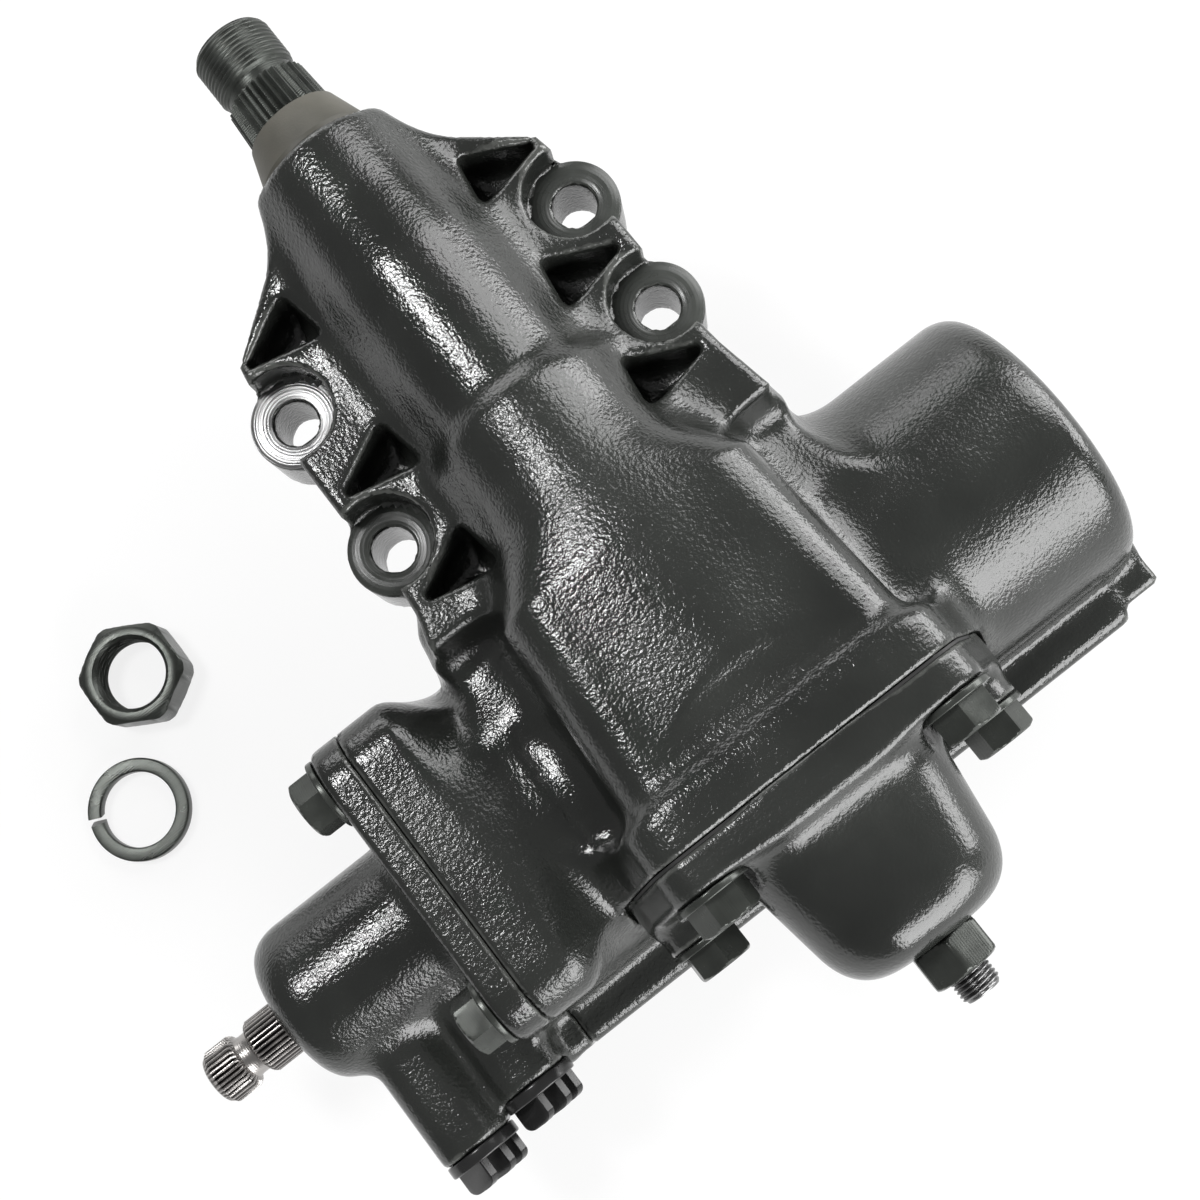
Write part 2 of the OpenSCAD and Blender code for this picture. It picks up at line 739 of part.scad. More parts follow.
// Drawn-cup needle bearing between two places on the local z axis
module needle_bearing(outer, inner, from, to) {
    needle_r = (outer - inner) * 0.3;
    needles = 20;
    ring(outer, inner + 2 * needle_r + 2 * fit, from, to);
    for (i = [0:needles - 1])
        rotate(360 / needles * i)
            translate([inner + fit + needle_r, 0, 0]) rod(needle_r, from + 2, to - 2);
}

module input_bearing() color(steel) seat() on_piston_axis()
    needle_bearing(input_bearing_r, input_journal_d / 2, -sleeve_far_x - input_bearing_l, -sleeve_far_x);

module input_oil_seal() color(rubber_black) seat() on_piston_axis()
    ring(input_seal_r, input_journal_d / 2 + fit, -valve_nose_x + 0.5, -valve_nose_x + 8);

module port_seats() color(bronze) seat()
    for (p = ports)
        at_port(p[0]) {
            seat_y = p[1] - port_depth;
            difference() {
                turned([[0, seat_y], [port_r - 1, seat_y], [port_r - 1, seat_y + 2], [2.5, seat_y + 5], [0, seat_y + 5]]);
                rod(2, seat_y - 1, seat_y + 6);
            }
        }

// Plastic shipping plug with three parallel fins as its grip
module port_plug(p) {
    disc_t = 3.7;
    fin_h = 7.5;
    fin_t = 2.6;
    fin_pitch = 6.5;
    stem_l = 8;
    at_port(p[0]) translate([0, 0, p[1]]) {
        rod(port_r - fit, -stem_l, eps);
        rod(port_disc_r, 0, disc_t);
        for (k = [-1:1])
            let (fin_w = k == 0 ? 1.5 * port_disc_r : 1.2 * port_disc_r)
                translate([-fin_w / 2, k * fin_pitch - fin_t / 2, disc_t - eps]) cube([fin_w, fin_t, fin_h]);
    }
}

module pressure_port_plug() color(rubber_black) seat() port_plug(ports[0]);

module return_port_plug() color(rubber_black) seat() port_plug(ports[1]);

module sector_bearing_inner() color(steel) seat() on_sector_axis()
    needle_bearing(bearing_r, journal_r, chamber_front_y + 4, chamber_front_y + 4 + needle_bearing_l);

module sector_bearing_outer() color(steel) seat() on_sector_axis()
    needle_bearing(bearing_r, journal_r, seal_front_y - seal_l - needle_bearing_l - 3, seal_front_y - seal_l - 3);

module sector_oil_seal() color(rubber_black) seat() on_sector_axis()
    ring(seal_bore_r, journal_r + fit, seal_front_y - seal_l, seal_front_y);

module sector_snap_ring() color(dark_steel) seat() on_sector_axis()
    difference() {
        ring(seal_bore_r + 0.9, seal_bore_r - 2, seal_front_y, seal_front_y + snap_ring_t);
        translate([0, -3, seal_front_y - 1]) cube([bearing_r * 2, 6, snap_ring_t + 2]);
    }

module pitman_nut() color(dark_steel) seat()
    translate([nut_place[0], nut_place[1], floor_z])
        difference() {
            hex_prism(pitman_nut_af, pitman_nut_h, 1.5);
            rod(pitman_thread_d / 2 - 0.6, -1, pitman_nut_h + 1);
            turned([
                [0, pitman_nut_h - 1],
                [pitman_thread_d / 2 - 0.6, pitman_nut_h - 1],
                [pitman_thread_d / 2 + 1, pitman_nut_h + 0.6],
                [0, pitman_nut_h + 0.6]
            ]);
        }

module pitman_lock_washer() color(dark_steel) seat()
    translate([washer_place[0], washer_place[1], floor_z]) {
        section_w = 4.6;
        section_t = 4.4;
        split_w = 2.5;
        difference() {
            ring(pitman_thread_d / 2 + 0.4 + section_w, pitman_thread_d / 2 + 0.4, 0, section_t);
            rotate([0, 0, 155])
                translate([pitman_thread_d / 2 - 2, 0, section_t / 2])
                    rotate([25, 0, 0]) translate([0, -split_w / 2, -section_t]) cube([section_w + 6, split_w, 2 * section_t]);
        }
    }

module sector_shaft() color(dark_steel) seat() {
    thread_y = shaft_end_y - pitman_thread_l;
    neck_l = 3;
    spline_y = thread_y - neck_l;
    spline_l = spline_y - boss_front_y;
    groove_r = 1.1;
    spline_big_r = serration_d / 2 + spline_l / 16;
    difference() {
        on_sector_axis()
            turned([
                [0, -journal_end_y],
                [journal_r - 1, -journal_end_y],
                [journal_r, 1 - journal_end_y],
                [journal_r, boss_front_y - 2],
                [spline_big_r, boss_front_y],
                [serration_d / 2, spline_y],
                [pitman_thread_d / 2 - 1, spline_y],
                [pitman_thread_d / 2 - 1, thread_y],
                [pitman_thread_d / 2, thread_y + 1],
                [pitman_thread_d / 2, shaft_end_y - 1.5],
                [pitman_thread_d / 2 - 1.5, shaft_end_y],
                [0, shaft_end_y]
            ]);
        on_sector_axis() rod(adjuster_pocket_r, -journal_end_y - 1, -journal_end_y + adjuster_pocket_l);
        on_sector_axis()
            for (i = [0:serration_count - 1])
                rotate(360 / serration_count * i)
                    translate([spline_big_r, 0, boss_front_y + 1])
                        rotate([0, -atan((spline_big_r - serration_d / 2) / spline_l), 0])
                            cylinder(r = groove_r, h = spline_l, $fn = 4);
    }
    towards_cover()
        translate([0, 0, -sector_front_y])
            linear_extrude(sector_face_w)
                difference() {
                    union() {
                        polygon(sector_points());
                        circle(r = sector_hub_r);
                    }
                    circle(r = journal_r - 1);
                }
}

module adjuster_retainer() color(steel) seat() towards_cover()
    ring(adjuster_pocket_r, adjuster_r + gap, journal_end_y - retainer_t, journal_end_y);

module sector_dust_cover() color(rubber_black) seat() on_sector_axis()
    difference() {
        turned([
            [0, boss_front_y + gap],
            [dust_cover_d / 2, boss_front_y + gap],
            [dust_cover_d / 2, boss_front_y + 2],
            [journal_r - 0.5, boss_front_y + dust_cover_l],
            [0, boss_front_y + dust_cover_l]
        ]);
        rod(serration_d / 2 + (shaft_overhang - pitman_thread_l) / 16, boss_front_y - 1, boss_front_y + dust_cover_l + 1);
    }

module rack_piston() color(steel) seat() difference() {
    on_piston_axis()
        turned([
            [0, -piston_valve_reach],
            [piston_r - 1.5, -piston_valve_reach],
            [piston_r, 1.5 - piston_valve_reach],
            [piston_r, piston_closed_reach - 1.5],
            [piston_r - 1.5, piston_closed_reach],
            [0, piston_closed_reach]
        ]);
    on_piston_axis() {
        rod(worm_bore_r, -piston_valve_reach - 1, worm_bore_end);
        rod(ball_recess_r, ball_start_x - ball_r - gap, ball_recess_end);
        ring(piston_r + 1, piston_r - 3, piston_closed_reach - 8 - piston_ring_w, piston_closed_reach - 8);
    }
    // Rack flat and tooth spaces, then the slot of the ball return tube underneath
    translate([0, piston_r, -centre_distance])
        rotate([90, 0, 0])
            linear_extrude(2 * piston_r) {
                translate([-rack_half_len, rack_tip_z]) square([2 * rack_half_len, piston_r]);
                for (k = [-1:1])
                    translate([k * tooth_pitch, 0]) polygon(rack_space());
            }
    translate([ball_start_x - tube_r, -tube_slot_w / 2, -centre_distance - piston_r - 1])
        cube([ball_recess_end - ball_start_x + tube_r, tube_slot_w, piston_r + 1 - ball_recess_r + 1]);
}

module piston_ring() color("#d8d2c4") seat() on_piston_axis()
    ring(bore_r - fit, piston_r - 3, piston_closed_reach - 8 - piston_ring_w + fit, piston_closed_reach - 8 - fit);

module recirculating_balls() color(steel) seat() on_piston_axis()
    for (i = [0:ball_count - 1]) {
        x = ball_start_x + i * ball_turns * worm_lead / ball_count;
        translate([each polar(ball_track_r, 360 * x / worm_lead), x]) sphere(r = ball_r);
    }

module ball_return_tube() color(steel) seat() on_piston_axis() {
    from = ball_start_x + tube_r;
    to = ball_recess_end - 2 * tube_r;
    translate([tube_z, 0, 0]) {
        rod(tube_r, from, to);
        for (x = [from, to]) {
            translate([0, 0, x]) sphere(r = tube_r);
            translate([0, 0, x]) rotate([0, -90, 0]) rod(tube_r, 0, tube_z - ball_recess_r - gap);
        }
    }
}

module return_tube_clamp() color(dark_steel) seat() on_piston_axis()
    translate([tube_z + tube_r, -tube_slot_w / 2 + fit, ball_start_x + 2 * tube_r])
        cube([2, tube_slot_w - 2 * fit, ball_recess_end - ball_start_x - 4 * tube_r]);

module worm_shaft() color(steel) seat() on_piston_axis() difference() {
    union() {
        translate([0, 0, -worm_start_x])
            rotate(-360 * worm_start_x / worm_lead)
                linear_extrude(
                    worm_start_x + worm_tip_x,
                    twist = -360 * (worm_start_x + worm_tip_x) / worm_lead,
                    slices = ceil((worm_start_x + worm_tip_x) / worm_lead * 16),
                    segments = len(worm_section()),
                    $fn = 16
                )
                    polygon(worm_section());
        rod(worm_land_r + 1.9, -valve_flange_x, -worm_start_x + eps);
        rod(valve_bore_r - 1, -sleeve_near_x, -valve_flange_x - gap);
        rod(worm_land_r + 1.9, -valve_flange_x - gap - eps, -valve_flange_x + eps);
    }
    rod(bar_head_r, -sleeve_near_x - 1, -bar_end_x);
    rod(input_journal_d / 2 - 3 + gap, -sleeve_near_x - 1, -sleeve_near_x + 9);
}

module valve_sleeve() color(steel) seat() on_piston_axis() difference() {
    ring(sleeve_r, sleeve_bore_r, -sleeve_far_x + 1, -sleeve_near_x);
    for (x = [0:3])
        let (at = -sleeve_far_x + 5 + x * 8)
            ring(sleeve_r + 1, sleeve_r - 2.2, at, at + sleeve_groove_w);
}

module sleeve_seal_rings() color("#d8d2c4") seat() on_piston_axis()
    for (x = [0:3])
        let (at = -sleeve_far_x + 5 + x * 8)
            ring(valve_bore_r - fit, sleeve_r - 2.2, at + fit, at + sleeve_groove_w - fit);

module torsion_bar() color(steel) seat() on_piston_axis() difference() {
    union() {
        rod(torsion_bar_d / 2, -valve_nose_x - 8, -bar_end_x);
        rod(bar_head_r, -bar_end_x - bar_head_l, -bar_end_x);
    }
    translate([0, 0, -valve_nose_x + 18]) rotate([90, 0, 0]) rod(2.6, -torsion_bar_d, torsion_bar_d);
}

module input_shaft() color(steel) seat() on_piston_axis() {
    band_l = 11;
    teeth = 32;
    groove_r = 0.5;
    tip = -input_tip_x;
    difference() {
        turned([
            [0, tip],
            [input_d / 2 - 1.5, tip],
            [input_d / 2, tip + 1.5],
            [input_d / 2, tip + band_l],
            [input_d / 2 - 2, tip + band_l + 1],
            [input_d / 2 - 2, tip + band_l + 4],
            [input_d / 2, tip + band_l + 5],
            [input_d / 2, -valve_nose_x - 2],
            [input_journal_d / 2, -valve_nose_x - 1],
            [input_journal_d / 2, -sleeve_far_x + 0.5],
            [rotor_r, -sleeve_far_x + 1],
            [rotor_r, -sleeve_near_x - 1],
            [input_journal_d / 2 - 3, -sleeve_near_x - 1],
            [input_journal_d / 2 - 3, -sleeve_near_x + 8],
            [0, -sleeve_near_x + 8]
        ]);
        rod(torsion_bar_d / 2 + gap, -valve_nose_x - 9, -sleeve_near_x + 9);
        translate([0, 0, -valve_nose_x + 18]) rotate([90, 0, 0]) rod(2, -input_d, input_d);
        for (i = [0:teeth - 1])
            rotate(360 / teeth * i)
                translate([input_d / 2 + 0.3, 0, tip - 1])
                    cylinder(r = groove_r, h = input_tip_x - valve_nose_x - 2, $fn = 4);
        for (i = [0:5])
            rotate(60 * i)
                translate([rotor_r, 0, 0]) rod(2.2, -sleeve_far_x + 5, -sleeve_near_x - 5);
    }
}

module torsion_pin() color(dark_steel) seat() on_piston_axis()
    translate([0, 0, -valve_nose_x + 18])
        rotate([90, 0, 0]) rod(2 - fit / 5, -input_journal_d / 2 + 0.5, input_journal_d / 2 - 0.5);

main_housing();
gallery_plug();
side_cover();
side_cover_gasket();
side_cover_bolts();
side_cover_bush();
adjusting_screw();
adjuster_lock_nut();
valve_housing();
valve_housing_seal();
valve_housing_bolts();
worm_bearing();
bearing_lock_plate();
input_bearing();
input_oil_seal();
port_seats();
pressure_port_plug();
return_port_plug();
sector_bearing_inner();
sector_bearing_outer();
sector_oil_seal();
sector_snap_ring();
pitman_nut();
pitman_lock_washer();
sector_shaft();
adjuster_retainer();
sector_dust_cover();
rack_piston();
piston_ring();
recirculating_balls();
ball_return_tube();
return_tube_clamp();
worm_shaft();
valve_sleeve();
sleeve_seal_rings();
torsion_bar();
input_shaft();
torsion_pin();
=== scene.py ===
"""Looks of the steering gearbox: cast skins, fasteners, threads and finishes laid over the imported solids.

Shapes are worked out in the gear's own frame, in millimetres, with the origin where the sector shaft crosses over
the rack piston. They move into the part's frame, in metres, when a mesh is made.
"""

import json
import logging
import math
from dataclasses import dataclass, field
from enum import Enum

import bpy
import numpy as np
from mathutils import Matrix, Vector


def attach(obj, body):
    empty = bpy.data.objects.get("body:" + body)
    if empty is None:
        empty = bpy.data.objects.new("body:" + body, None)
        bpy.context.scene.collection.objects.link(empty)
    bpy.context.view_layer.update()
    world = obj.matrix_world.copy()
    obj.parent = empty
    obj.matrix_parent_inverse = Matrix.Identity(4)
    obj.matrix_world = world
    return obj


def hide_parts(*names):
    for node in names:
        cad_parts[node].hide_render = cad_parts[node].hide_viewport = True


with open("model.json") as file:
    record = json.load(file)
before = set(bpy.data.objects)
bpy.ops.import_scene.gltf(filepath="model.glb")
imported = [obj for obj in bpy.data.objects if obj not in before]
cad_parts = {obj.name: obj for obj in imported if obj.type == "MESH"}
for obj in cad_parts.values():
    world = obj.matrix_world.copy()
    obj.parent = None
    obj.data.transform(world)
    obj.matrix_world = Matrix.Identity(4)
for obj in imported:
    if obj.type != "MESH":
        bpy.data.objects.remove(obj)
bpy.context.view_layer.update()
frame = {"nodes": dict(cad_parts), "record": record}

Array = np.ndarray
Triple = tuple[float, float, float]
Colour = tuple[float, float, float, float]
Piece = bpy.types.Object
Tree = bpy.types.NodeTree
Socket = bpy.types.NodeSocket
Surface = tuple[Socket, Socket, Socket, float]

LOG = logging.getLogger("gearbox")
MM = 0.001
# Place of the gear's origin in the part's frame
SEAT = np.array([1.25, -129.0, 34.0])
# Heights of the piston's axis and of the floor
PISTON_Z = -58.0
FLOOR_Z = -108.0
# Joint of the two housings, outer face of the valve housing's flange, and its nose
JOINT_X = -97.0
FLANGE_X = -107.0
NOSE_X = -163.0
# Middle of the valve flange across the gear, and its bolts' distance from there
VALVE_Y = 3.0
VALVE_BOLT = 37.5
# Corners of the side cover's flange, at its bolts
COVER_CORNERS = [(-39.0, 22.0), (39.0, 22.0), (49.5, -25.0), (-49.5, -25.0)]
# Points round a turned piece and round a thread
ROUND = 96
THREAD_ROUND = 64


class Body(Enum):
    """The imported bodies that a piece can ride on."""

    HOUSING = "housing"
    SECTOR = "sector"
    INPUT = "input"


# Distance fields


def smooth_min(a: Array, b: Array, k: float) -> Array:
    """Union of two fields with a fillet: the lower one, lowered further where the two are closer than k.

    Args:
        a: first field.
        b: second field.
        k: width of the fillet.

    Returns:
        The joined field.
    """
    h = np.clip(0.5 + 0.5 * (b - a) / k, 0.0, 1.0)
    return b + (a - b) * h - k * h * (1.0 - h)


def smooth_max(a: Array, b: Array, k: float) -> Array:
    """Overlap of two fields with an edge rounded over about k."""
    return -smooth_min(-a, -b, k)


def span(w: Array, low: float, high: float) -> Array:
    """Field of the slab between two planes, as the farther of the two plane distances."""
    return np.maximum(low - w, w - high)


def round_rect(u: Array, v: Array, half_u: Array, half_v: Array, r: Array) -> Array:
    """Field of a rectangle with round corners: distance to the corner centres' rectangle, less the radius.

    Args:
        u: first coordinate from the rectangle's centre.
        v: second coordinate from the rectangle's centre.
        half_u: half width, one number or one per point.
        half_v: half height, likewise.
        r: corner radius, likewise.

    Returns:
        Signed distance in the plane.
    """
    du = np.abs(u) - (half_u - r)
    dv = np.abs(v) - (half_v - r)
    outside = np.hypot(np.maximum(du, 0.0), np.maximum(dv, 0.0))
    return outside + np.minimum(np.maximum(du, dv), 0.0) - r


def polygon_field(u: Array, v: Array, corners: list[tuple[float, float]]) -> Array:
    """Signed distance to a closed polygon: the nearest edge, negative where edges are crossed an odd number of times.

    Args:
        u: first coordinate.
        v: second coordinate.
        corners: the polygon's corners in order.

    Returns:
        Signed distance in the plane.
    """
    near = np.full(u.shape, np.inf)
    inside = np.zeros(u.shape, bool)
    for (au, av), (bu, bv) in zip(corners, corners[1:] + corners[:1]):
        eu, ev = bu - au, bv - av
        wu, wv = u - au, v - av
        t = np.clip((wu * eu + wv * ev) / (eu * eu + ev * ev), 0.0, 1.0)
        near = np.minimum(near, (wu - eu * t) ** 2 + (wv - ev * t) ** 2)
        if av != bv:
            inside ^= ((av > v) != (bv > v)) & (wu < eu * wv / ev)
    return np.where(inside, -1.0, 1.0) * np.sqrt(near)


def valve_square(y: Array, z: Array) -> Array:
    """Field of the valve flange's outline, which the main housing's block shares."""
    return round_rect(y - VALVE_Y, z - PISTON_Z, 50.0, 50.0, 14.0)


def gallery_bar(y: Array, z: Array) -> Array:
    """Field of the oil gallery's section, which runs along both housings."""
    return round_rect(y + 30.0, z + 72.0, 30.0, 10.0, 4.0)


def surface_nets(values: Array) -> tuple[Array, Array]:
    """Quads round the zero level of a sampled field: one point per mixed cell, at the mean of its edge crossings.

    Args:
        values: the field on a grid of nodes.

    Returns:
        Points in node units, and quads that face the positive side.
    """
    shape = np.array(values.shape) - 1
    stride = np.array([shape[1] * shape[2], shape[2], 1])
    owners, places, quads = [], [], []
    for axis in range(3):
        first, second = (axis + 1) % 3, (axis + 2) % 3
        near = np.take(values, range(values.shape[axis] - 1), axis)
        far = np.take(values, range(1, values.shape[axis]), axis)
        nodes = np.argwhere((near < 0) != (far < 0))
        a, b = near[tuple(nodes.T)], far[tuple(nodes.T)]
        place = nodes.astype(float)
        place[:, axis] += a / (a - b)
        corner = []
        for d1, d2 in ((-1, -1), (0, -1), (0, 0), (-1, 0)):
            cell = nodes.copy()
            cell[:, first] += d1
            cell[:, second] += d2
            corner.append(cell @ stride)
            owners.append(corner[-1])
            places.append(place)
        quad = np.stack(corner, 1)
        quads.append(np.where((a < 0)[:, None], quad, quad[:, ::-1]))
    owner, place = np.concatenate(owners), np.concatenate(places)
    cells, index, count = np.unique(owner, return_inverse=True, return_counts=True)
    points = np.stack([np.bincount(index, place[:, i]) for i in range(3)], 1) / count[:, None]
    return points, np.searchsorted(cells, np.concatenate(quads))


# Meshes


def make_piece(name: str, points: Array, faces: list, sharp_deg: float = 0.0, **values: Array) -> Piece:
    """Makes a smooth-shaded object from points in the gear's frame.

    Args:
        name: the piece's name.
        points: (n, 3) points in millimetres.
        faces: index lists, or one (m, 4) array of quads.
        sharp_deg: edges bent by more than this angle stay sharp; 0 keeps all edges smooth.
        values: further per-point numbers, stored as attributes of the same names.

    Returns:
        The new object, linked into the scene.
    """
    mesh = bpy.data.meshes.new(name)
    mesh.from_pydata(((points + SEAT) * MM).tolist(), [], faces.tolist() if isinstance(faces, Array) else faces)
    mesh.update()
    mesh.shade_smooth()
    if sharp_deg:
        mesh.set_sharp_from_angle(angle=math.radians(sharp_deg))
    for key, numbers in values.items():
        mesh.attributes.new(key, "FLOAT", "POINT").data.foreach_set("value", numbers.astype(np.float32))
    piece = bpy.data.objects.new(name, mesh)
    bpy.context.scene.collection.objects.link(piece)
    return piece


@dataclass
class Patch:
    """A surface made of grids of points, gathered before it becomes one mesh."""

    points: list[Array] = field(default_factory=list)
    faces: list = field(default_factory=list)
    count: int = 0

    def sheet(self, grid: Array, caps: tuple[bool, bool] = (True, True)) -> "Patch":
        """Adds a (rows, columns, 3) grid as quads, each row joined to the next and the last column to the first.

        Args:
            grid: the points, with rows along the length and columns round it.
            caps: whether the first and the last row are closed by a flat face.

        Returns:
            The patch itself.
        """
        rows, cols = grid.shape[:2]
        ids = np.arange(rows * cols).reshape(rows, cols) + self.count
        nxt = np.roll(ids, -1, 1)
        self.faces += np.stack([ids[:-1], nxt[:-1], nxt[1:], ids[1:]], -1).reshape(-1, 4).tolist()
        if caps[0]:
            self.faces.append(ids[0, ::-1].tolist())
        if caps[1]:
            self.faces.append(ids[-1].tolist())
        self.points.append(grid.reshape(-1, 3))
        self.count += rows * cols
        return self

    def piece(self, name: str, sharp_deg: float = 35.0, **values: Array) -> Piece:
        """Makes the gathered surface one object, with further numbers per point."""
        return make_piece(name, np.concatenate(self.points), self.faces, sharp_deg, **values)


class Axis(Enum):
    """Ways that a turned piece points: its local x, y and z directions in the gear's frame."""

    OUTPUT = ((1, 0, 0), (0, 0, -1), (0, 1, 0))
    COVER = ((1, 0, 0), (0, 0, 1), (0, -1, 0))
    INPUT = ((0, 0, 1), (0, 1, 0), (-1, 0, 0))
    UP = ((1, 0, 0), (0, 1, 0), (0, 0, 1))

    def place(self, local: Array, at: Triple = (0.0, 0.0, 0.0)) -> Array:
        """Turns local points into this direction and moves them to a place."""
        return local @ np.array(self.value, float) + np.array(at, float)


def turned_grid(radius: Array, height: Array, columns: int = ROUND) -> Array:
    """Local grid of a turned surface: x = r cos a, y = r sin a, z = h.

    Args:
        radius: one radius per row, or (rows, columns) radii.
        height: one height per row.
        columns: points round the axis.

    Returns:
        (rows, columns, 3) points.
    """
    a = np.linspace(0.0, 2 * np.pi, columns, endpoint=False)[None, :]
    r, h = (np.broadcast_to(v.reshape(len(v), -1), (len(v), columns)) for v in (radius, height))
    return np.stack([r * np.cos(a), r * np.sin(a), h], -1)


def hex_radius(across: float) -> Array:
    """Radius of a hexagon round its axis: half the width over flats, over the cosine from the nearest flat."""
    a = np.linspace(0.0, 2 * np.pi, ROUND, endpoint=False)
    return across / 2 / np.cos((a + np.pi / 6) % (np.pi / 3) - np.pi / 6)


def hex_block(across: float, low: float, high: float, chamfer_low: bool = False) -> Array:
    """Hexagonal block whose corners are cut by a 30-degree cone: r = min(hexagon, cone).

    Args:
        across: width over flats.
        low: height of its seat.
        high: height of its top.
        chamfer_low: whether the seat's corners are cut as well.

    Returns:
        Local (rows, columns, 3) grid from the seat to the top.
    """
    rise = np.array([0.0, 0.06, 0.14, 0.24, 0.4]) * 3.5
    h = np.concatenate([low + rise, high - rise[::-1]])
    face_r, slope = across / 2 * 0.95, 1.732
    cone = face_r + (high - h) * slope
    if chamfer_low:
        cone = np.minimum(cone, face_r + (h - low) * slope)
    return turned_grid(np.minimum(hex_radius(across)[None, :], cone[:, None]), h)


def thread_grid(crest: float, depth: float, pitch: float, low: float, high: float, lead_in: float) -> Array:
    """Threaded rod: r = crest - depth * triangle wave of (height / pitch - turn), eased to the root at both ends.

    Args:
        crest: crest radius.
        depth: thread depth.
        pitch: rise of one turn.
        low: height of the first row.
        high: height of the last row.
        lead_in: chamfered length at each end.

    Returns:
        Local (rows, columns, 3) grid.
    """
    rows = int((high - low) / pitch * 8) + 1
    h = np.linspace(low, high, rows)[:, None]
    turn = np.linspace(0.0, 1.0, THREAD_ROUND, endpoint=False)[None, :]
    phase = (h / pitch - turn) % 1.0
    wave = np.clip(np.abs(phase - 0.5) * 2.6 - 0.3, 0.0, 1.0)
    ease = np.clip(np.minimum(h - low, high - h) / lead_in, 0.0, 1.0)
    r = crest - depth + depth * (1.0 - wave) * ease - 0.4 * depth * (1.0 - ease)
    return turned_grid(r, h, THREAD_ROUND)


def rounded_profile(corners: list[tuple[float, float]], r: float) -> tuple[Array, Array]:
    """Profile with its inner corners rounded: each corner becomes a quadratic curve between points r away from it.

    Args:
        corners: (radius, height) pairs in order.
        r: how far from a corner its curve starts.

    Returns:
        Radii and heights along the profile.
    """
    pts = np.array(corners, float)
    out = [pts[:1]]
    t = np.linspace(0.0, 1.0, 5)[:, None]
    for before, here, after in zip(pts[:-2], pts[1:-1], pts[2:]):
        back, on = before - here, after - here
        start = here + back * min(r / np.linalg.norm(back), 0.45)
        end = here + on * min(r / np.linalg.norm(on), 0.45)
        out.append((1 - t) ** 2 * start + 2 * t * (1 - t) * here + t ** 2 * end)
    out.append(pts[-1:])
    line = np.concatenate(out)
    return line[:, 0], line[:, 1]


def round_loop(width: float, height: float, r: float, steps: int) -> Array:
    """Closed outline of a rectangle with round corners, anticlockwise: quarter circles at its four corners.

    Args:
        width: first side.
        height: second side.
        r: corner radius.
        steps: points on each quarter circle.

    Returns:
        (n, 2) points round the middle.
    """
    a = np.linspace(0.0, np.pi / 2, steps)
    quarters = []
    for turn, (su, sv) in enumerate(((1, 1), (-1, 1), (-1, -1), (1, -1))):
        angle = a + turn * np.pi / 2
        centre = np.array([su * (width / 2 - r), sv * (height / 2 - r)])
        quarters.append(centre + r * np.stack([np.cos(angle), np.sin(angle)], 1))
    return np.concatenate(quarters)


# Castings


@dataclass
class Casting:
    """A cast piece given by a distance field and skinned where the field is zero."""

    name: str
    node: str
    low: Triple
    high: Triple
    step: float
    slides: int = 3
    slope_h: float = 0.3
    bend_h: float = 1.6

    def shape(self, p: Array) -> Array:
        """The piece's field at (n, 3) points in the gear's frame."""
        raise NotImplementedError

    def sampled(self) -> tuple[Array, Array]:
        """Samples the field on its grid, a slab of rows at a time.

        Returns:
            The field's values and the grid's first node.
        """
        low = np.array(self.low) - 2 * self.step
        counts = np.ceil((np.array(self.high) + 2 * self.step - low) / self.step).astype(int) + 1
        axes = [low[i] + self.step * np.arange(counts[i]) for i in range(3)]
        slabs = []
        for rows in np.array_split(axes[0], 8):
            nodes = np.stack(np.meshgrid(rows, axes[1], axes[2], indexing="ij"), -1)
            slabs.append(self.shape(nodes.reshape(-1, 3)).reshape(nodes.shape[:3]))
        return np.concatenate(slabs), low

    def slopes(self, p: Array, h: float) -> tuple[Array, Array, Array]:
        """Field, slope and bend at points, from the field at h on both sides along each axis.

        Args:
            p: (n, 3) points.
            h: half the distance between the samples.

        Returns:
            The values, the (n, 3) gradients and the sums of second differences.
        """
        here = self.shape(p)
        pairs = [(self.shape(p + h * e), self.shape(p - h * e)) for e in np.eye(3)]
        grad = np.stack([(a - b) / (2 * h) for a, b in pairs], 1)
        return here, grad, sum(a + b - 2 * here for a, b in pairs) / h ** 2

    def build(self, paint: "Finish") -> Piece:
        """Skins the field, slides the points on to its zero level and stores where edges and hollows are.

        Args:
            paint: the finish that it gets.

        Returns:
            The painted piece, in its CAD node's place.
        """
        values, low = self.sampled()
        points, quads = surface_nets(values)
        points = low + points * self.step
        for _ in range(self.slides):
            here, grad = self.slopes(points, self.slope_h)[:2]
            reach = np.clip(here, -0.4 * self.step, 0.4 * self.step)
            points -= (reach / np.maximum((grad ** 2).sum(1), 0.3))[:, None] * grad
        bend = self.slopes(points, self.bend_h)[2]
        # The edge and hollow values drive edge wear with a painted highlight and hollow dust with a painted
        # reflection in the paint.
        piece = make_piece(
            self.name, points, quads, edge=np.clip(bend * 1.6, 0.0, 1.0), hollow=np.clip(-bend * 2.5, 0.0, 1.0)
        )
        return settle(piece, Body.HOUSING, paint, "cast_black", self.node)


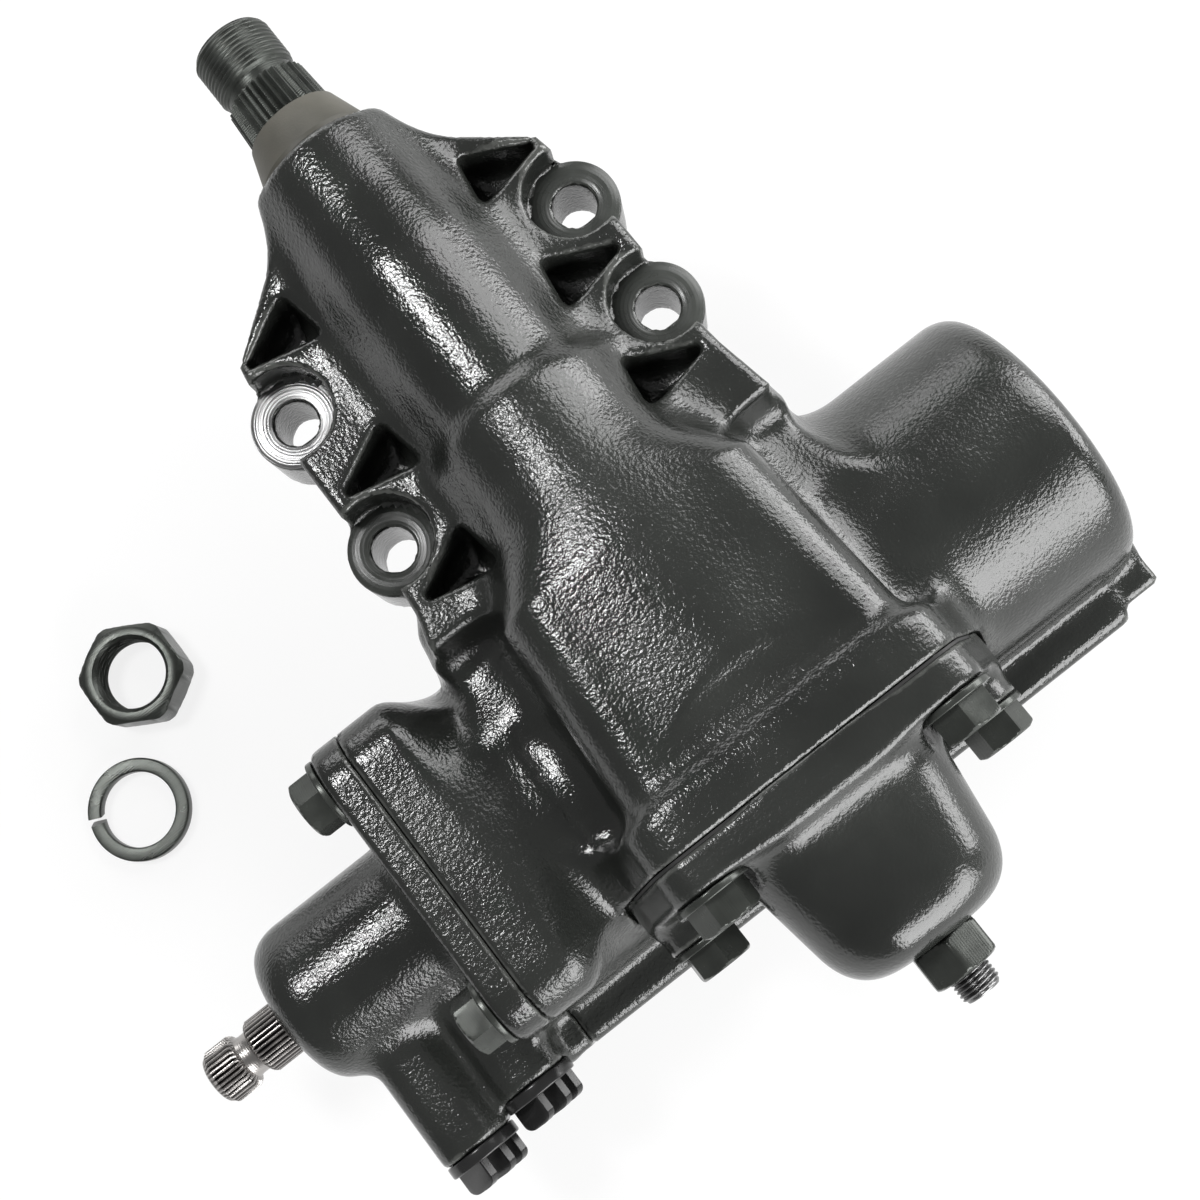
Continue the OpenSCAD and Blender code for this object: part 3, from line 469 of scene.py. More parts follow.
@dataclass
class MainHousing(Casting):
    """Power cylinder, sector box, stepped boss, frame lugs with pockets and the oil gallery rib, in one casting.

    Each entry of lugs is one side's: the lugs' distance from the sector shaft, then where the front and the back lug
    lie along it. The valve side comes first.
    """

    name: str = "housing_casting"
    node: str = "main_housing"
    low: Triple = (JOINT_X, -61.0, -108.0)
    high: Triple = (121.0, 181.0, 32.0)
    step: float = 1.68
    cylinder_r: float = 46.0
    closed_x: float = 121.0
    cover_y: float = -35.0
    boss_y: float = 181.0
    lugs: tuple[Triple, ...] = ((51.5, 129.0, 82.5), (49.0, 129.0, 90.5))
    lug_r: float = 13.4
    seat_r: float = 13.5
    hole_r: float = 6.5
    mount_z: float = -34.0
    seat_z: float = -10.0
    pocket_z: float = -16.0
    web_z: float = 3.0
    cast_fillet: float = 13.0

    def barrel(self, p: Array) -> Array:
        """Power cylinder with a rounded closed end, squared up towards the valve joint by a smooth step along x.

        Args:
            p: (n, 3) points.

        Returns:
            The cylinder's field.
        """
        x, y, z = p.T
        ring = np.hypot(y, z - PISTON_Z) - self.cylinder_r
        tube = smooth_max(ring, x - self.closed_x, 11.0)
        t = np.clip((x + 84.0) / 23.0, 0.0, 1.0)
        ease = t * t * (3.0 - 2.0 * t)
        block = np.maximum(valve_square(y, z) * (1.0 - ease) + ring * ease, x + 60.0)
        return smooth_min(tube, block, 2.0)

    def sector_box(self, p: Array) -> Array:
        """Box over the toothed sector: rounded rectangles that narrow and sink from the cover to the boss.

        Args:
            p: (n, 3) points.

        Returns:
            The box's field, with the pad for the cover on it.
        """
        x, y, z = p.T
        at = [self.cover_y, 39.0, 60.0]
        width = np.interp(y, at, [92.0, 82.0, 58.0])
        roof = np.interp(y, at, [31.0, 30.0, 24.0])
        r = np.interp(y, at, [12.0, 14.0, 20.0])
        middle, half = (roof + PISTON_Z) / 2, (roof - PISTON_Z) / 2
        box = smooth_max(round_rect(x, z - middle, width / 2, half, r), y - 61.0, 16.0)
        pad = smooth_max(polygon_field(x, z, COVER_CORNERS) - 10.9, y + 22.0, 4.0)
        return smooth_max(smooth_min(box, pad, 7.0), self.cover_y - y, 1.2)

    def boss(self, p: Array) -> Array:
        """Stepped boss round the sector shaft: a turned profile whose steps a bell-shaped mean softens.

        Args:
            p: (n, 3) points.

        Returns:
            The boss's field.
        """
        x, y, z = p.T
        at = np.linspace(-20.0, 200.0, 441)
        stepped = np.interp(at, [80.0, 87.5, 92.5, 138.0, 158.0, 179.0], [29.0, 29.0, 25.5, 25.5, 23.0, 22.0])
        reach = 12
        weight = np.exp(-0.5 * (np.arange(-reach, reach + 1) / 4.0) ** 2)
        soft = np.convolve(np.pad(stepped, reach, mode="edge"), weight / weight.sum(), "valid")
        round_bar = np.hypot(x, z) - np.interp(y, at, soft)
        return np.maximum(smooth_max(round_bar, y - self.boss_y, 2.6), -y)

    def seen_from(self, p: Array, side: int) -> tuple[Array, Array, Array, Triple]:
        """Coordinates with x growing towards one side, 1 closed end or -1 valve, and that side's lugs."""
        return p[:, 0] * side, p[:, 1], p[:, 2], self.lugs[max(side, 0)]

    def wing(self, p: Array, side: int) -> Array:
        """One side's web with its two lugs.

        Args:
            p: (n, 3) points.
            side: 1 for the closed end's side, -1 for the valve side.

        Returns:
            The web's field, before its pockets and seats are cut.
        """
        x, y, z, (at, front, back) = self.seen_from(p, side)
        plan = polygon_field(x, y, [
            (0.0, 176.0), (20.0, 174.0), (at + 2.5, front + 19.0), (at + 4.0, front + 11.0), (at + 5.5, front - 16.0),
            (at + 5.5, back + 13.0), (at + 5.0, back - 15.0), (at + 5.5, back - 21.0), (at + 9.0, 50.0), (0.0, 50.0),
        ])
        web = smooth_max(plan, span(z, -28.0, self.web_z), 3.0)
        for lug_y in (front, back):
            lug = np.hypot(x - at, y - lug_y) - self.lug_r
            web = smooth_min(web, smooth_max(lug, span(z, self.mount_z, self.seat_z), 0.9), 3.0)
        return web

    def foot(self, p: Array, side: int) -> Array:
        """Block that carries one side's web down to the cylinder.

        Args:
            p: (n, 3) points.
            side: as for the wing.

        Returns:
            The block's field.
        """
        x, y, z, (at, _, _) = self.seen_from(p, side)
        block = smooth_max(span(x, 0.0, at + 9.0), span(y, 27.6, 60.0), 5.0)
        return smooth_max(block, span(z, PISTON_Z, -18.0), 5.0)

    def pockets(self, p: Array, side: int) -> Array:
        """Three triangular hollows in one side's web, in front of each lug and behind them.

        Args:
            p: (n, 3) points.
            side: as for the wing.

        Returns:
            The field of what is cut away.
        """
        x, y, z, (at, front, back) = self.seen_from(p, side)
        cut = np.full(x.shape, np.inf)
        for lug_y in (front, back, back - 37.0):
            corners = [(at - 18.0, lug_y + 26.0), (at - 1.0, lug_y + 17.6), (at - 20.0, lug_y + 13.2)]
            cut = np.minimum(cut, smooth_max(polygon_field(x, y, corners) - 1.4, self.pocket_z - z, 7.0))
        return cut

    def seats(self, p: Array, side: int) -> Array:
        """Counterbores and through holes of one side's lugs.

        Args:
            p: (n, 3) points.
            side: as for the wing.

        Returns:
            The field of what is cut away.
        """
        x, y, z, (at, *along) = self.seen_from(p, side)
        cut = np.full(x.shape, np.inf)
        for lug_y in along:
            d = np.hypot(x - at, y - lug_y)
            cut = np.minimum(cut, np.maximum(d - self.seat_r, self.seat_z - z))
            cut = np.minimum(cut, np.maximum(d - self.hole_r, z - 20.0))
        return cut

    def bores(self, p: Array) -> Array:
        """Cylinder bore, sector chamber and boss bore, with room for what runs in them.

        Args:
            p: (n, 3) points.

        Returns:
            The field of the hollow inside.
        """
        x, y, z = p.T
        ring = np.hypot(y, z - PISTON_Z)
        bore = np.maximum(ring - 37.5, x - 107.0)
        bore = np.minimum(bore, np.maximum(ring - 40.6, x + 92.5))
        swing = np.hypot(x, z)
        chamber = np.minimum(swing - 24.5, np.maximum(swing - 39.6, z - 4.0))
        chamber = np.maximum(chamber, y - 19.5)
        shaft = np.maximum(np.where(y > 168.0, swing - 19.5, swing - 19.0), -y)
        return np.minimum(np.minimum(bore, chamber), shaft)

    def shape(self, p: Array) -> Array:
        """All bodies joined with cast fillets, less the pockets, the seats, the two joint faces and the bores.

        Args:
            p: (n, 3) points.

        Returns:
            The casting's field.
        """
        x, y, z = p.T
        body = smooth_min(self.barrel(p), self.sector_box(p), self.cast_fillet)
        body = smooth_min(body, self.boss(p), self.cast_fillet)
        wings = np.minimum(self.wing(p, 1), self.wing(p, -1))
        feet = np.minimum(self.foot(p, 1), self.foot(p, -1))
        body = smooth_min(smooth_min(body, feet, 20.0), wings, 12.0)
        rib = smooth_max(gallery_bar(y, z), x - 107.0, 3.0)
        tail = smooth_max(round_rect(y + 28.0, z + 72.0, 28.0, 9.0, 2.0), span(x, 80.0, 120.5), 1.5)
        body = smooth_min(body, smooth_min(rib, tail, 3.0), 5.0)
        for side in (1, -1):
            body = smooth_max(body, -self.pockets(p, side), 1.8)
            body = smooth_max(body, -self.seats(p, side), 0.9)
        body = smooth_max(body, JOINT_X - x, 1.0)
        cover_room = np.maximum(np.maximum(y - self.cover_y, -36.5 - z), np.abs(x) - 63.0)
        return smooth_max(smooth_max(body, -cover_room, 1.0), -self.bores(p), 1.0)


@dataclass
class SideCover(Casting):
    """Flanged cover with a rounded-square dome that flares into its flange.

    Heights are measured outwards, against y. Each bolt is given by its x, its z and the height of its seat.
    """

    name: str = "cover_casting"
    node: str = "side_cover"
    low: Triple = (-62.5, -92.0, -36.5)
    high: Triple = (62.5, -35.8, 33.5)
    step: float = 1.3
    joint_h: float = 35.8
    flange_h: float = 45.8
    dome_h: float = 92.0
    bolts: tuple[Triple, ...] = (
        (-39.0, 22.0, 45.8), (39.0, 22.0, 45.8), (-49.5, -25.0, 54.8), (49.5, -25.0, 54.8),
    )

    def shape(self, p: Array) -> Array:
        """Flange, dome and bolt seats joined with fillets, less the bush bore and the holes.

        Args:
            p: (n, 3) points.

        Returns:
            The casting's field.
        """
        x, h, z = p[:, 0], -p[:, 1], p[:, 2]
        outline = polygon_field(x, z, COVER_CORNERS) - 11.0
        flange = smooth_max(smooth_max(outline, h - self.flange_h, 3.0), self.joint_h - h, 1.0)
        at = [self.flange_h, 78.0, self.dome_h]
        half_x = np.interp(h, at, [33.0, 28.2, 26.0])
        half_z = np.interp(h, at, [27.0, 26.0, 24.6])
        dome = smooth_max(round_rect(x, z, half_x, half_z, 21.0), h - self.dome_h, 15.0)
        cover = smooth_min(flange, np.maximum(dome, 37.0 - h), 12.0)
        for bolt_x, bolt_z, top in self.bolts:
            d = np.hypot(x - bolt_x, z - bolt_z)
            if top > self.flange_h:
                cover = smooth_min(cover, smooth_max(d - 10.8, span(h, 37.0, top), 1.6), 5.0)
            cover = smooth_max(cover, -np.maximum(d - 11.3, top - h), 0.8)
            cover = np.maximum(cover, 5.6 - d)
        axis = np.hypot(x, z)
        return np.maximum(np.maximum(cover, -np.maximum(axis - 18.3, h - 78.3)), 6.4 - axis)


@dataclass
class ValveHousing(Casting):
    """Square flange, round valve body with a rounded nose, and two squared port bosses, given by x and end face."""

    name: str = "valve_casting"
    node: str = "valve_housing"
    low: Triple = (NOSE_X, -62.5, -108.0)
    high: Triple = (JOINT_X, 53.0, -8.0)
    step: float = 1.35
    ports: tuple[tuple[float, float], ...] = ((-116.5, -57.5), (-140.5, -62.0))

    def shape(self, p: Array) -> Array:
        """Flange, body and ports joined with fillets, less the valve bore, the ports and the bolt holes.

        Args:
            p: (n, 3) points.

        Returns:
            The casting's field.
        """
        x, y, z = p.T
        zc = z - PISTON_Z
        ring = np.hypot(y, zc)
        flange = smooth_max(valve_square(y, z), FLANGE_X - x, 3.0)
        barrel = smooth_max(ring - 26.0, NOSE_X - x, 13.0)
        gallery = smooth_max(gallery_bar(y, z), FLANGE_X - x, 3.0)
        casting = smooth_min(smooth_min(flange, gallery, 5.0), np.maximum(barrel, x + 99.0), 9.0)
        for port_x, port_y in self.ports:
            boss = smooth_max(round_rect(x - port_x, zc, 11.5, 11.5, 9.0), port_y - y, 2.4)
            casting = smooth_min(casting, np.maximum(boss, y), 6.0)
        for port_x, port_y in self.ports:
            casting = smooth_max(casting, -np.maximum(np.hypot(x - port_x, zc) - 7.3, y - port_y - 15.0), 0.8)
        bore = np.minimum(np.maximum(ring - 26.4, -107.3 - x), np.maximum(ring - 19.4, -142.3 - x))
        bore = np.minimum(bore, np.maximum(ring - 14.4, -153.3 - x))
        bore = np.minimum(bore, np.minimum(ring - 11.4, np.maximum(ring - 15.3, x + 155.0)))
        casting = smooth_max(smooth_max(casting, x - JOINT_X, 1.0), -bore, 0.8)
        bolt = np.hypot(np.abs(y - VALVE_Y) - VALVE_BOLT, np.abs(zc) - VALVE_BOLT)
        return np.maximum(casting, 5.6 - bolt)


# Finishes


def add(tree: Tree, kind: str, inputs: dict | None = None, **settings: object) -> bpy.types.Node:
    """Adds a shader node.

    Args:
        tree: the tree to add it to.
        kind: the node's type.
        inputs: socket name or number to a value, or to the socket that it is linked from.
        settings: the node's own properties.

    Returns:
        The new node.
    """
    node = tree.nodes.new(kind)
    for key, value in settings.items():
        setattr(node, key, value)
    for key, value in (inputs or {}).items():
        if isinstance(value, Socket):
            tree.links.new(value, node.inputs[key])
        else:
            node.inputs[key].default_value = value
    return node


def math_node(tree: Tree, operation: str, *values: object) -> Socket:
    """Adds a Math node on up to three values or sockets and returns its result."""
    return add(tree, "ShaderNodeMath", dict(enumerate(values)), operation=operation).outputs[0]


def remap(tree: Tree, value: object, low: float, high: float, to: tuple[float, float] = (0.0, 1.0)) -> Socket:
    """Maps a value from low..high to another range, held at its ends, and returns the socket."""
    ends = {"From Min": low, "From Max": high, "To Min": to[0], "To Max": to[1]}
    return add(tree, "ShaderNodeMapRange", {"Value": value, **ends}).outputs["Result"]


def mix_colour(tree: Tree, factor: object, a: object, b: object) -> Socket:
    """Mixes two colours, or sockets, by a factor and returns the mixed colour."""
    return add(tree, "ShaderNodeMix", {0: factor, 6: a, 7: b}, data_type="RGBA").outputs[2]


def stored(tree: Tree, name: str) -> Socket:
    """Reads a number that the piece's mesh stores at its points."""
    return add(tree, "ShaderNodeAttribute", attribute_name=name).outputs["Fac"]


def noise(tree: Tree, vector: object, scale: object, detail: float) -> Socket:
    """Adds a noise texture and returns its value."""
    return add(tree, "ShaderNodeTexNoise", {"Vector": vector, "Scale": scale, "Detail": detail}).outputs[0]


def cloud(tree: Tree, vector: object, scale: float, detail: float = 4.0) -> Socket:
    """Noise spread out over 0 to 1."""
    return remap(tree, noise(tree, vector, scale, detail), 0.3, 0.7)


class Effect(Enum):
    """Surface effects that several finishes share, each a shader node group."""

    CAST_GRAIN = "cast_grain"
    EDGE_WEAR_AND_HIGHLIGHT = "edge_wear_and_highlight"
    HOLLOW_DUST_AND_REFLECTION = "hollow_dust_and_reflection"
    TOOL_MARKS = "tool_marks"

    def tree(self) -> Tree:
        """The effect's node group, built when it is first asked for.

        Returns:
            The group's tree.
        """
        made = bpy.data.node_groups.get(self.value)
        return made or {
            Effect.CAST_GRAIN: build_cast_grain, Effect.EDGE_WEAR_AND_HIGHLIGHT: build_edge_wear_and_highlight,
            Effect.HOLLOW_DUST_AND_REFLECTION: build_hollow_dust_and_reflection, Effect.TOOL_MARKS: build_tool_marks,
        }[self](self.value)

    def use(self, tree: Tree, **inputs: object) -> bpy.types.bpy_prop_collection:
        """Places the group in a material with its own values and returns its outputs."""
        named = {key.title(): value for key, value in inputs.items()}
        return add(tree, "ShaderNodeGroup", named, node_tree=self.tree()).outputs


def new_group(name: str, inputs: dict[str, str], outputs: list[str]) -> tuple[Tree, object, object]:
    """Starts a shader node group.

    Args:
        name: the group's name.
        inputs: socket name to its type, Float or Vector.
        outputs: names of its values.

    Returns:
        The tree, its incoming sockets and the sockets that take its results.
    """
    tree = bpy.data.node_groups.new(name, "ShaderNodeTree")
    for key, kind in inputs.items():
        tree.interface.new_socket(key, in_out="INPUT", socket_type=f"NodeSocket{kind}")
    for key in outputs:
        tree.interface.new_socket(key, in_out="OUTPUT", socket_type="NodeSocketFloat")
    return tree, tree.nodes.new("NodeGroupInput").outputs, tree.nodes.new("NodeGroupOutput").inputs


def build_cast_grain(name: str) -> Tree:
    """Sand-cast skin under paint: fine orange peel on a slower swell, with a few pits, and a wide mottle.

    Args:
        name: the group's name.

    Returns:
        The group's tree.
    """
    tree, source, out = new_group(name, {"Position": "Vector", "Grain": "Float"}, ["Height", "Mottle"])
    position, grain = source["Position"], source["Grain"]
    peel = noise(tree, position, grain, 2.5)
    swell = noise(tree, position, math_node(tree, "MULTIPLY", grain, 0.24), 1.0)
    spacing = math_node(tree, "MULTIPLY", grain, 0.33)
    pits = add(tree, "ShaderNodeTexVoronoi", {"Vector": position, "Scale": spacing}).outputs["Distance"]
    pit = remap(tree, pits, 0.0, 0.16, (-0.25, 0.0))
    wide = noise(tree, position, 26.0, 3.0)
    peel = math_node(tree, "MULTIPLY", peel, remap(tree, wide, 0.35, 0.65, (0.65, 1.15)))
    height = math_node(tree, "MULTIPLY_ADD", swell, 0.45, math_node(tree, "ADD", peel, pit))
    tree.links.new(height, out["Height"])
    tree.links.new(remap(tree, wide, 0.3, 0.7), out["Mottle"])
    return tree


def build_edge_wear_and_highlight(name: str) -> Tree:
    """Paint rubbed thin on raised edges, with a painted highlight there: the edge value, broken up by noise.

    Args:
        name: the group's name.

    Returns:
        The group's tree.
    """
    tree, source, out = new_group(name, {"Position": "Vector", "Edge": "Float", "Start": "Float"}, ["Mask"])
    ragged = noise(tree, source["Position"], 240.0, 5.0)
    past = math_node(tree, "SUBTRACT", source["Edge"], source["Start"])
    # Edge mask for wear and a painted highlight along raised edges
    wear_and_highlight = math_node(tree, "MULTIPLY_ADD", ragged, 0.9, past)
    tree.links.new(remap(tree, wear_and_highlight, 0.62, 0.9), out["Mask"])
    return tree


def build_hollow_dust_and_reflection(name: str) -> Tree:
    """Dust that stays in hollows, with a painted reflection there: the hollow value with soft patches.

    Args:
        name: the group's name.

    Returns:
        The group's tree.
    """
    tree, source, out = new_group(name, {"Position": "Vector", "Hollow": "Float"}, ["Mask"])
    patch = remap(tree, noise(tree, source["Position"], 60.0, 4.0), 0.35, 0.75, (0.3, 1.0))
    # Hollow mask for dust and a painted reflection in concave fillets
    tree.links.new(math_node(tree, "MULTIPLY", source["Hollow"], patch), out["Mask"])
    return tree


def build_tool_marks(name: str) -> Tree:
    """Turning and grinding marks: fine lines across one coordinate, wavering with noise.

    Args:
        name: the group's name.

    Returns:
        The group's tree.
    """
    sockets = {"Position": "Vector", "Across": "Float", "Lines": "Float"}
    tree, source, out = new_group(name, sockets, ["Height", "Tone"])
    waver = noise(tree, source["Position"], 90.0, 3.0)
    even = math_node(tree, "MULTIPLY", source["Across"], source["Lines"])
    phase = math_node(tree, "MULTIPLY_ADD", waver, 5.0, even)
    lines = math_node(tree, "SINE", phase)
    drawn = {"W": phase, "Scale": 0.35, "Detail": 4.0}
    smear = add(tree, "ShaderNodeTexNoise", drawn, noise_dimensions="1D").outputs[0]
    tree.links.new(math_node(tree, "MULTIPLY_ADD", lines, 0.3, smear), out["Height"])
    tree.links.new(smear, out["Tone"])
    return tree


@dataclass(frozen=True)
class Finish:
    """A procedural finish: each kind fills in a Principled shader from Object coordinates."""

    name: str
    colour: Colour
    second: Colour
    rough: tuple[float, float]
    metallic: float = 0.0
    ior: float = 1.5

    def material(self) -> bpy.types.Material:
        """The finish's material, built when it is first asked for.

        Returns:
            The material.
        """
        made = bpy.data.materials.get(self.name)
        if made:
            return made
        made = bpy.data.materials.new(self.name)
        made.use_nodes = True
        tree = made.node_tree
        shader = tree.nodes["Principled BSDF"].inputs
        shader["Metallic"].default_value = self.metallic
        shader["IOR"].default_value = self.ior
        position = add(tree, "ShaderNodeTexCoord").outputs["Object"]
        colour, rough, height, depth = self.surface(tree, position)
        tree.links.new(colour, shader["Base Color"])
        tree.links.new(rough, shader["Roughness"])
        bump = add(tree, "ShaderNodeBump", {"Height": height, "Distance": depth, "Strength": 1.0})
        tree.links.new(bump.outputs[0], shader["Normal"])
        return made

    def surface(self, tree: Tree, position: Socket) -> Surface:
        """Colour, roughness and bump height sockets, and the bump's depth in metres."""
        raise NotImplementedError

    def dress(self, piece: Piece) -> None:
        """Puts the finish on a piece."""
        piece.data.materials.clear()
        piece.data.materials.append(self.material())


@dataclass(frozen=True)
class PaintedIron(Finish):
    """Gloss paint over a sand-cast skin, thin on the edges with a painted highlight there, and dusty in the hollows
    with a painted reflection there.
    """

    ior: float = 1.6
    grain: float = 980.0
    depth: float = 0.00024
    # Dust colour in hollows, which also paints a reflection there
    dust_and_reflection_colour: Colour = (0.085, 0.088, 0.080, 1.0)
    # Bare metal colour on worn edges, which also paints a highlight along them
    worn_metal_and_highlight: Colour = (0.14, 0.145, 0.135, 1.0)

    def surface(self, tree: Tree, position: Socket) -> Surface:
        """Mottled paint, mixed with metal and a painted highlight by the edges' wear, and with dust and a painted
        reflection by the hollows.

        Args:
            tree: the material's tree.
            position: Object coordinates.

        Returns:
            As for any finish.
        """
        skin = Effect.CAST_GRAIN.use(tree, position=position, grain=self.grain)
        wear_and_highlight = Effect.EDGE_WEAR_AND_HIGHLIGHT.use(tree, position=position, edge=stored(tree, "edge"), start=0.5)["Mask"]
        dust_and_reflection_mask = Effect.HOLLOW_DUST_AND_REFLECTION.use(tree, position=position, hollow=stored(tree, "hollow"))["Mask"]
        colour = mix_colour(tree, skin["Mottle"], self.colour, self.second)
        # Wear and painted highlight: raised edges lightened towards metal
        colour = mix_colour(tree, math_node(tree, "MULTIPLY", wear_and_highlight, 0.35), colour, self.worn_metal_and_highlight)
        # Dust and painted reflection: hollows lightened
        colour = mix_colour(tree, math_node(tree, "MULTIPLY", dust_and_reflection_mask, 0.22), colour, self.dust_and_reflection_colour)
        rough = remap(tree, skin["Mottle"], 0.0, 1.0, self.rough)
        rough = math_node(tree, "MULTIPLY_ADD", dust_and_reflection_mask, 0.12, rough)
        return colour, rough, skin["Height"], self.depth


@dataclass(frozen=True)
class WorkedSteel(Finish):
    """Steel with tool marks along one of the gear's axes, from bright turned to black oxide."""

    across: str = "X"
    lines: float = 9000.0
    depth: float = 0.00003
    line_share: float = 0.5
    cloud_scale: float = 130.0

    def coordinate(self, tree: Tree, position: Socket) -> Socket:
        """The coordinate that the marks run across."""
        return add(tree, "ShaderNodeSeparateXYZ", {0: position}).outputs[self.across]

    def surface(self, tree: Tree, position: Socket) -> Surface:
        """Marks across the coordinate, on clouded steel.

        Args:
            tree: the material's tree.
            position: Object coordinates.

        Returns:
            As for any finish.
        """
        across = self.coordinate(tree, position)
        marks = Effect.TOOL_MARKS.use(tree, position=position, across=across, lines=self.lines)
        clouded = cloud(tree, position, self.cloud_scale)
        rest = math_node(tree, "MULTIPLY", clouded, 1.0 - self.line_share)
        tone = math_node(tree, "MULTIPLY_ADD", marks["Tone"], self.line_share, rest)
        colour = mix_colour(tree, tone, self.colour, self.second)
        return colour, remap(tree, clouded, 0.0, 1.0, self.rough), marks["Height"], self.depth


@dataclass(frozen=True)
class FacedSteel(WorkedSteel):
    """A spot-faced seat: rings round the seat's own centre, which the piece stores as its turn value."""

    line_share: float = 0.6
    cloud_scale: float = 150.0

    def coordinate(self, tree: Tree, position: Socket) -> Socket:
        """The stored distance from the seat's centre."""
        return stored(tree, "turn")


@dataclass(frozen=True)
class SerratedSteel(WorkedSteel):
    """Steel with teeth, bright on their tips and darkened in the grooves by painted shade; the piece stores the depth
    as groove.
    """

    # Painted shade: the colour that the grooves darken to
    groove: Colour = (0.02, 0.018, 0.016, 1.0)

    def surface(self, tree: Tree, position: Socket) -> Surface:
        """Worked steel, darkened by the stored depth as painted shade.

        Args:
            tree: the material's tree.
            position: Object coordinates.

        Returns:
            As for any finish.
        """
        colour, rough, height, depth = super().surface(tree, position)
        # Painted shade that deepens with the groove's depth
        painted_groove_shade = remap(tree, stored(tree, "groove"), 0.15, 0.8)
        return mix_colour(tree, painted_groove_shade, colour, self.groove), rough, height, depth


@dataclass(frozen=True)
class Moulded(Finish):
    """Moulded rubber, plastic or soft metal: a fine even grain with clouded colour."""

    grain: float = 1500.0
    depth: float = 0.00004

    def surface(self, tree: Tree, position: Socket) -> Surface:
        """Clouded colour on a fine grain.

        Args:
            tree: the material's tree.
            position: Object coordinates.

        Returns:
            As for any finish.
        """
        skin = Effect.CAST_GRAIN.use(tree, position=position, grain=self.grain)
        colour = mix_colour(tree, cloud(tree, position, 70.0, 5.0), self.colour, self.second)
        return colour, remap(tree, skin["Mottle"], 0.0, 1.0, self.rough), skin["Height"], self.depth


def grey(v: float, tint: Triple = (1.0, 1.0, 1.0)) -> Colour:
    """A grey of one level, tinted."""
    return v * tint[0], v * tint[1], v * tint[2], 1.0


OLIVE = (0.98, 1.06, 0.96)
WARM = (1.04, 1.0, 0.97)
PAINT = PaintedIron("gloss_paint_on_iron", grey(0.012, OLIVE), grey(0.024, OLIVE), (0.11, 0.20))
SMOOTH_PAINT = PaintedIron(
    "gloss_paint_on_cover", grey(0.012, OLIVE), grey(0.023, OLIVE), (0.15, 0.25), depth=0.00016,
)
OXIDE = WorkedSteel("black_oxide_steel", grey(0.030, OLIVE), grey(0.070, OLIVE), (0.24, 0.38), 0.7, across="Y")
BOLT_OXIDE = WorkedSteel(
    "black_oxide_bolts", grey(0.034, OLIVE), grey(0.066, OLIVE), (0.18, 0.30), 0.5, depth=0.000008,
)
THREAD = WorkedSteel("threaded_steel", grey(0.13), grey(0.27), (0.26, 0.40), 1.0, across="Y", depth=0.00001)
BRIGHT = WorkedSteel("turned_steel", grey(0.26), grey(0.42), (0.24, 0.38), 1.0)
SPLINE = SerratedSteel("serrated_steel", grey(0.30, WARM), grey(0.46, WARM), (0.26, 0.4), 1.0)
SEAT_BRIGHT = FacedSteel(
    "faced_seat_bright", grey(0.20), grey(0.46), (0.24, 0.38), 1.0, lines=7000.0, depth=0.00008,
)
SEAT_DARK = FacedSteel(
    "faced_seat_painted", grey(0.026, OLIVE), grey(0.050, OLIVE), (0.22, 0.34), lines=5200.0, depth=0.00004,
)
BRONZE = WorkedSteel("bearing_bronze", (0.36, 0.22, 0.08, 1), (0.5, 0.32, 0.13, 1), (0.25, 0.4), 1.0)
RUBBER = Moulded("sealing_rubber", grey(0.010), grey(0.020), (0.5, 0.7))
BOOT = Moulded("dusty_collar", (0.050, 0.048, 0.038, 1), (0.085, 0.080, 0.064, 1), (0.42, 0.6))
PLASTIC = Moulded("plug_plastic", grey(0.012), grey(0.020), (0.16, 0.28), depth=0.00002)
PTFE = Moulded("ring_ptfe", (0.62, 0.58, 0.49, 1), (0.72, 0.69, 0.6, 1), (0.4, 0.55))
SLOTS: dict[str, Finish] = {
    "cast_black": PAINT, "black_steel": OXIDE, "bare_steel": BRIGHT, "bronze": BRONZE, "rubber_black": RUBBER,
    "plastic_black": PLASTIC, "ptfe": PTFE,
}


# Fasteners, threads and plugs


def settle(piece: Piece, body: Body, finish: Finish, slot: str, *nodes: str) -> Piece:
    """Dresses a piece, lets it ride on a body and stand for CAD nodes, and logs it.

    Args:
        piece: the piece.
        body: the body that it moves with.
        finish: its finish.
        slot: the record's material slot; not used.
        nodes: the CAD nodes that it stands for.

    Returns:
        The same piece.
    """
    finish.dress(piece)
    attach(piece, body.value)
    if nodes:
        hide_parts(*nodes)
    LOG.info("%s on %s, %d faces", piece.name, body.value, len(piece.data.polygons))
    return piece


@dataclass
class HexBolts:
    """Hex bolts with washers, all alike, on one joint; each stands at its own turn, as tightened."""

    name: str
    node: str
    axis: Axis
    seats: tuple[Triple, ...]
    across: float = 16.0
    washer_r: float = 11.0
    washer_t: float = 2.0
    head: float = 8.0
    shank: float = 14.0
    shank_r: float = 5.0

    def build(self) -> Piece:
        """Washer, hex head with a dished top and shank at each seat.

        Returns:
            All the bolts as one piece.
        """
        top = self.washer_t + self.head
        rim = [(5.1, 0.0), (self.washer_r, 0.0), (self.washer_r, self.washer_t), (6.0, self.washer_t)]
        dish = turned_grid(np.array([7.6, 6.6, 5.4]), np.array([top, top - 0.1, top - 0.35]))
        washer = turned_grid(*rounded_profile(rim, 0.5))
        head = np.concatenate([hex_block(self.across, self.washer_t, top), dish])
        shank = turned_grid(np.full(2, self.shank_r), np.array([-self.shank, 0.0]))
        patch = Patch()
        for number, at in enumerate(self.seats):
            turn = 0.35 + 0.8 * number
            spin = np.array([[math.cos(turn), math.sin(turn), 0], [-math.sin(turn), math.cos(turn), 0], [0, 0, 1.0]])
            for grid, caps in ((washer, (False, False)), (head, (True, True)), (shank, (True, False))):
                patch.sheet(self.axis.place(grid @ spin, at), caps)
        return settle(patch.piece(self.name), Body.HOUSING, BOLT_OXIDE, "black_steel", self.node)


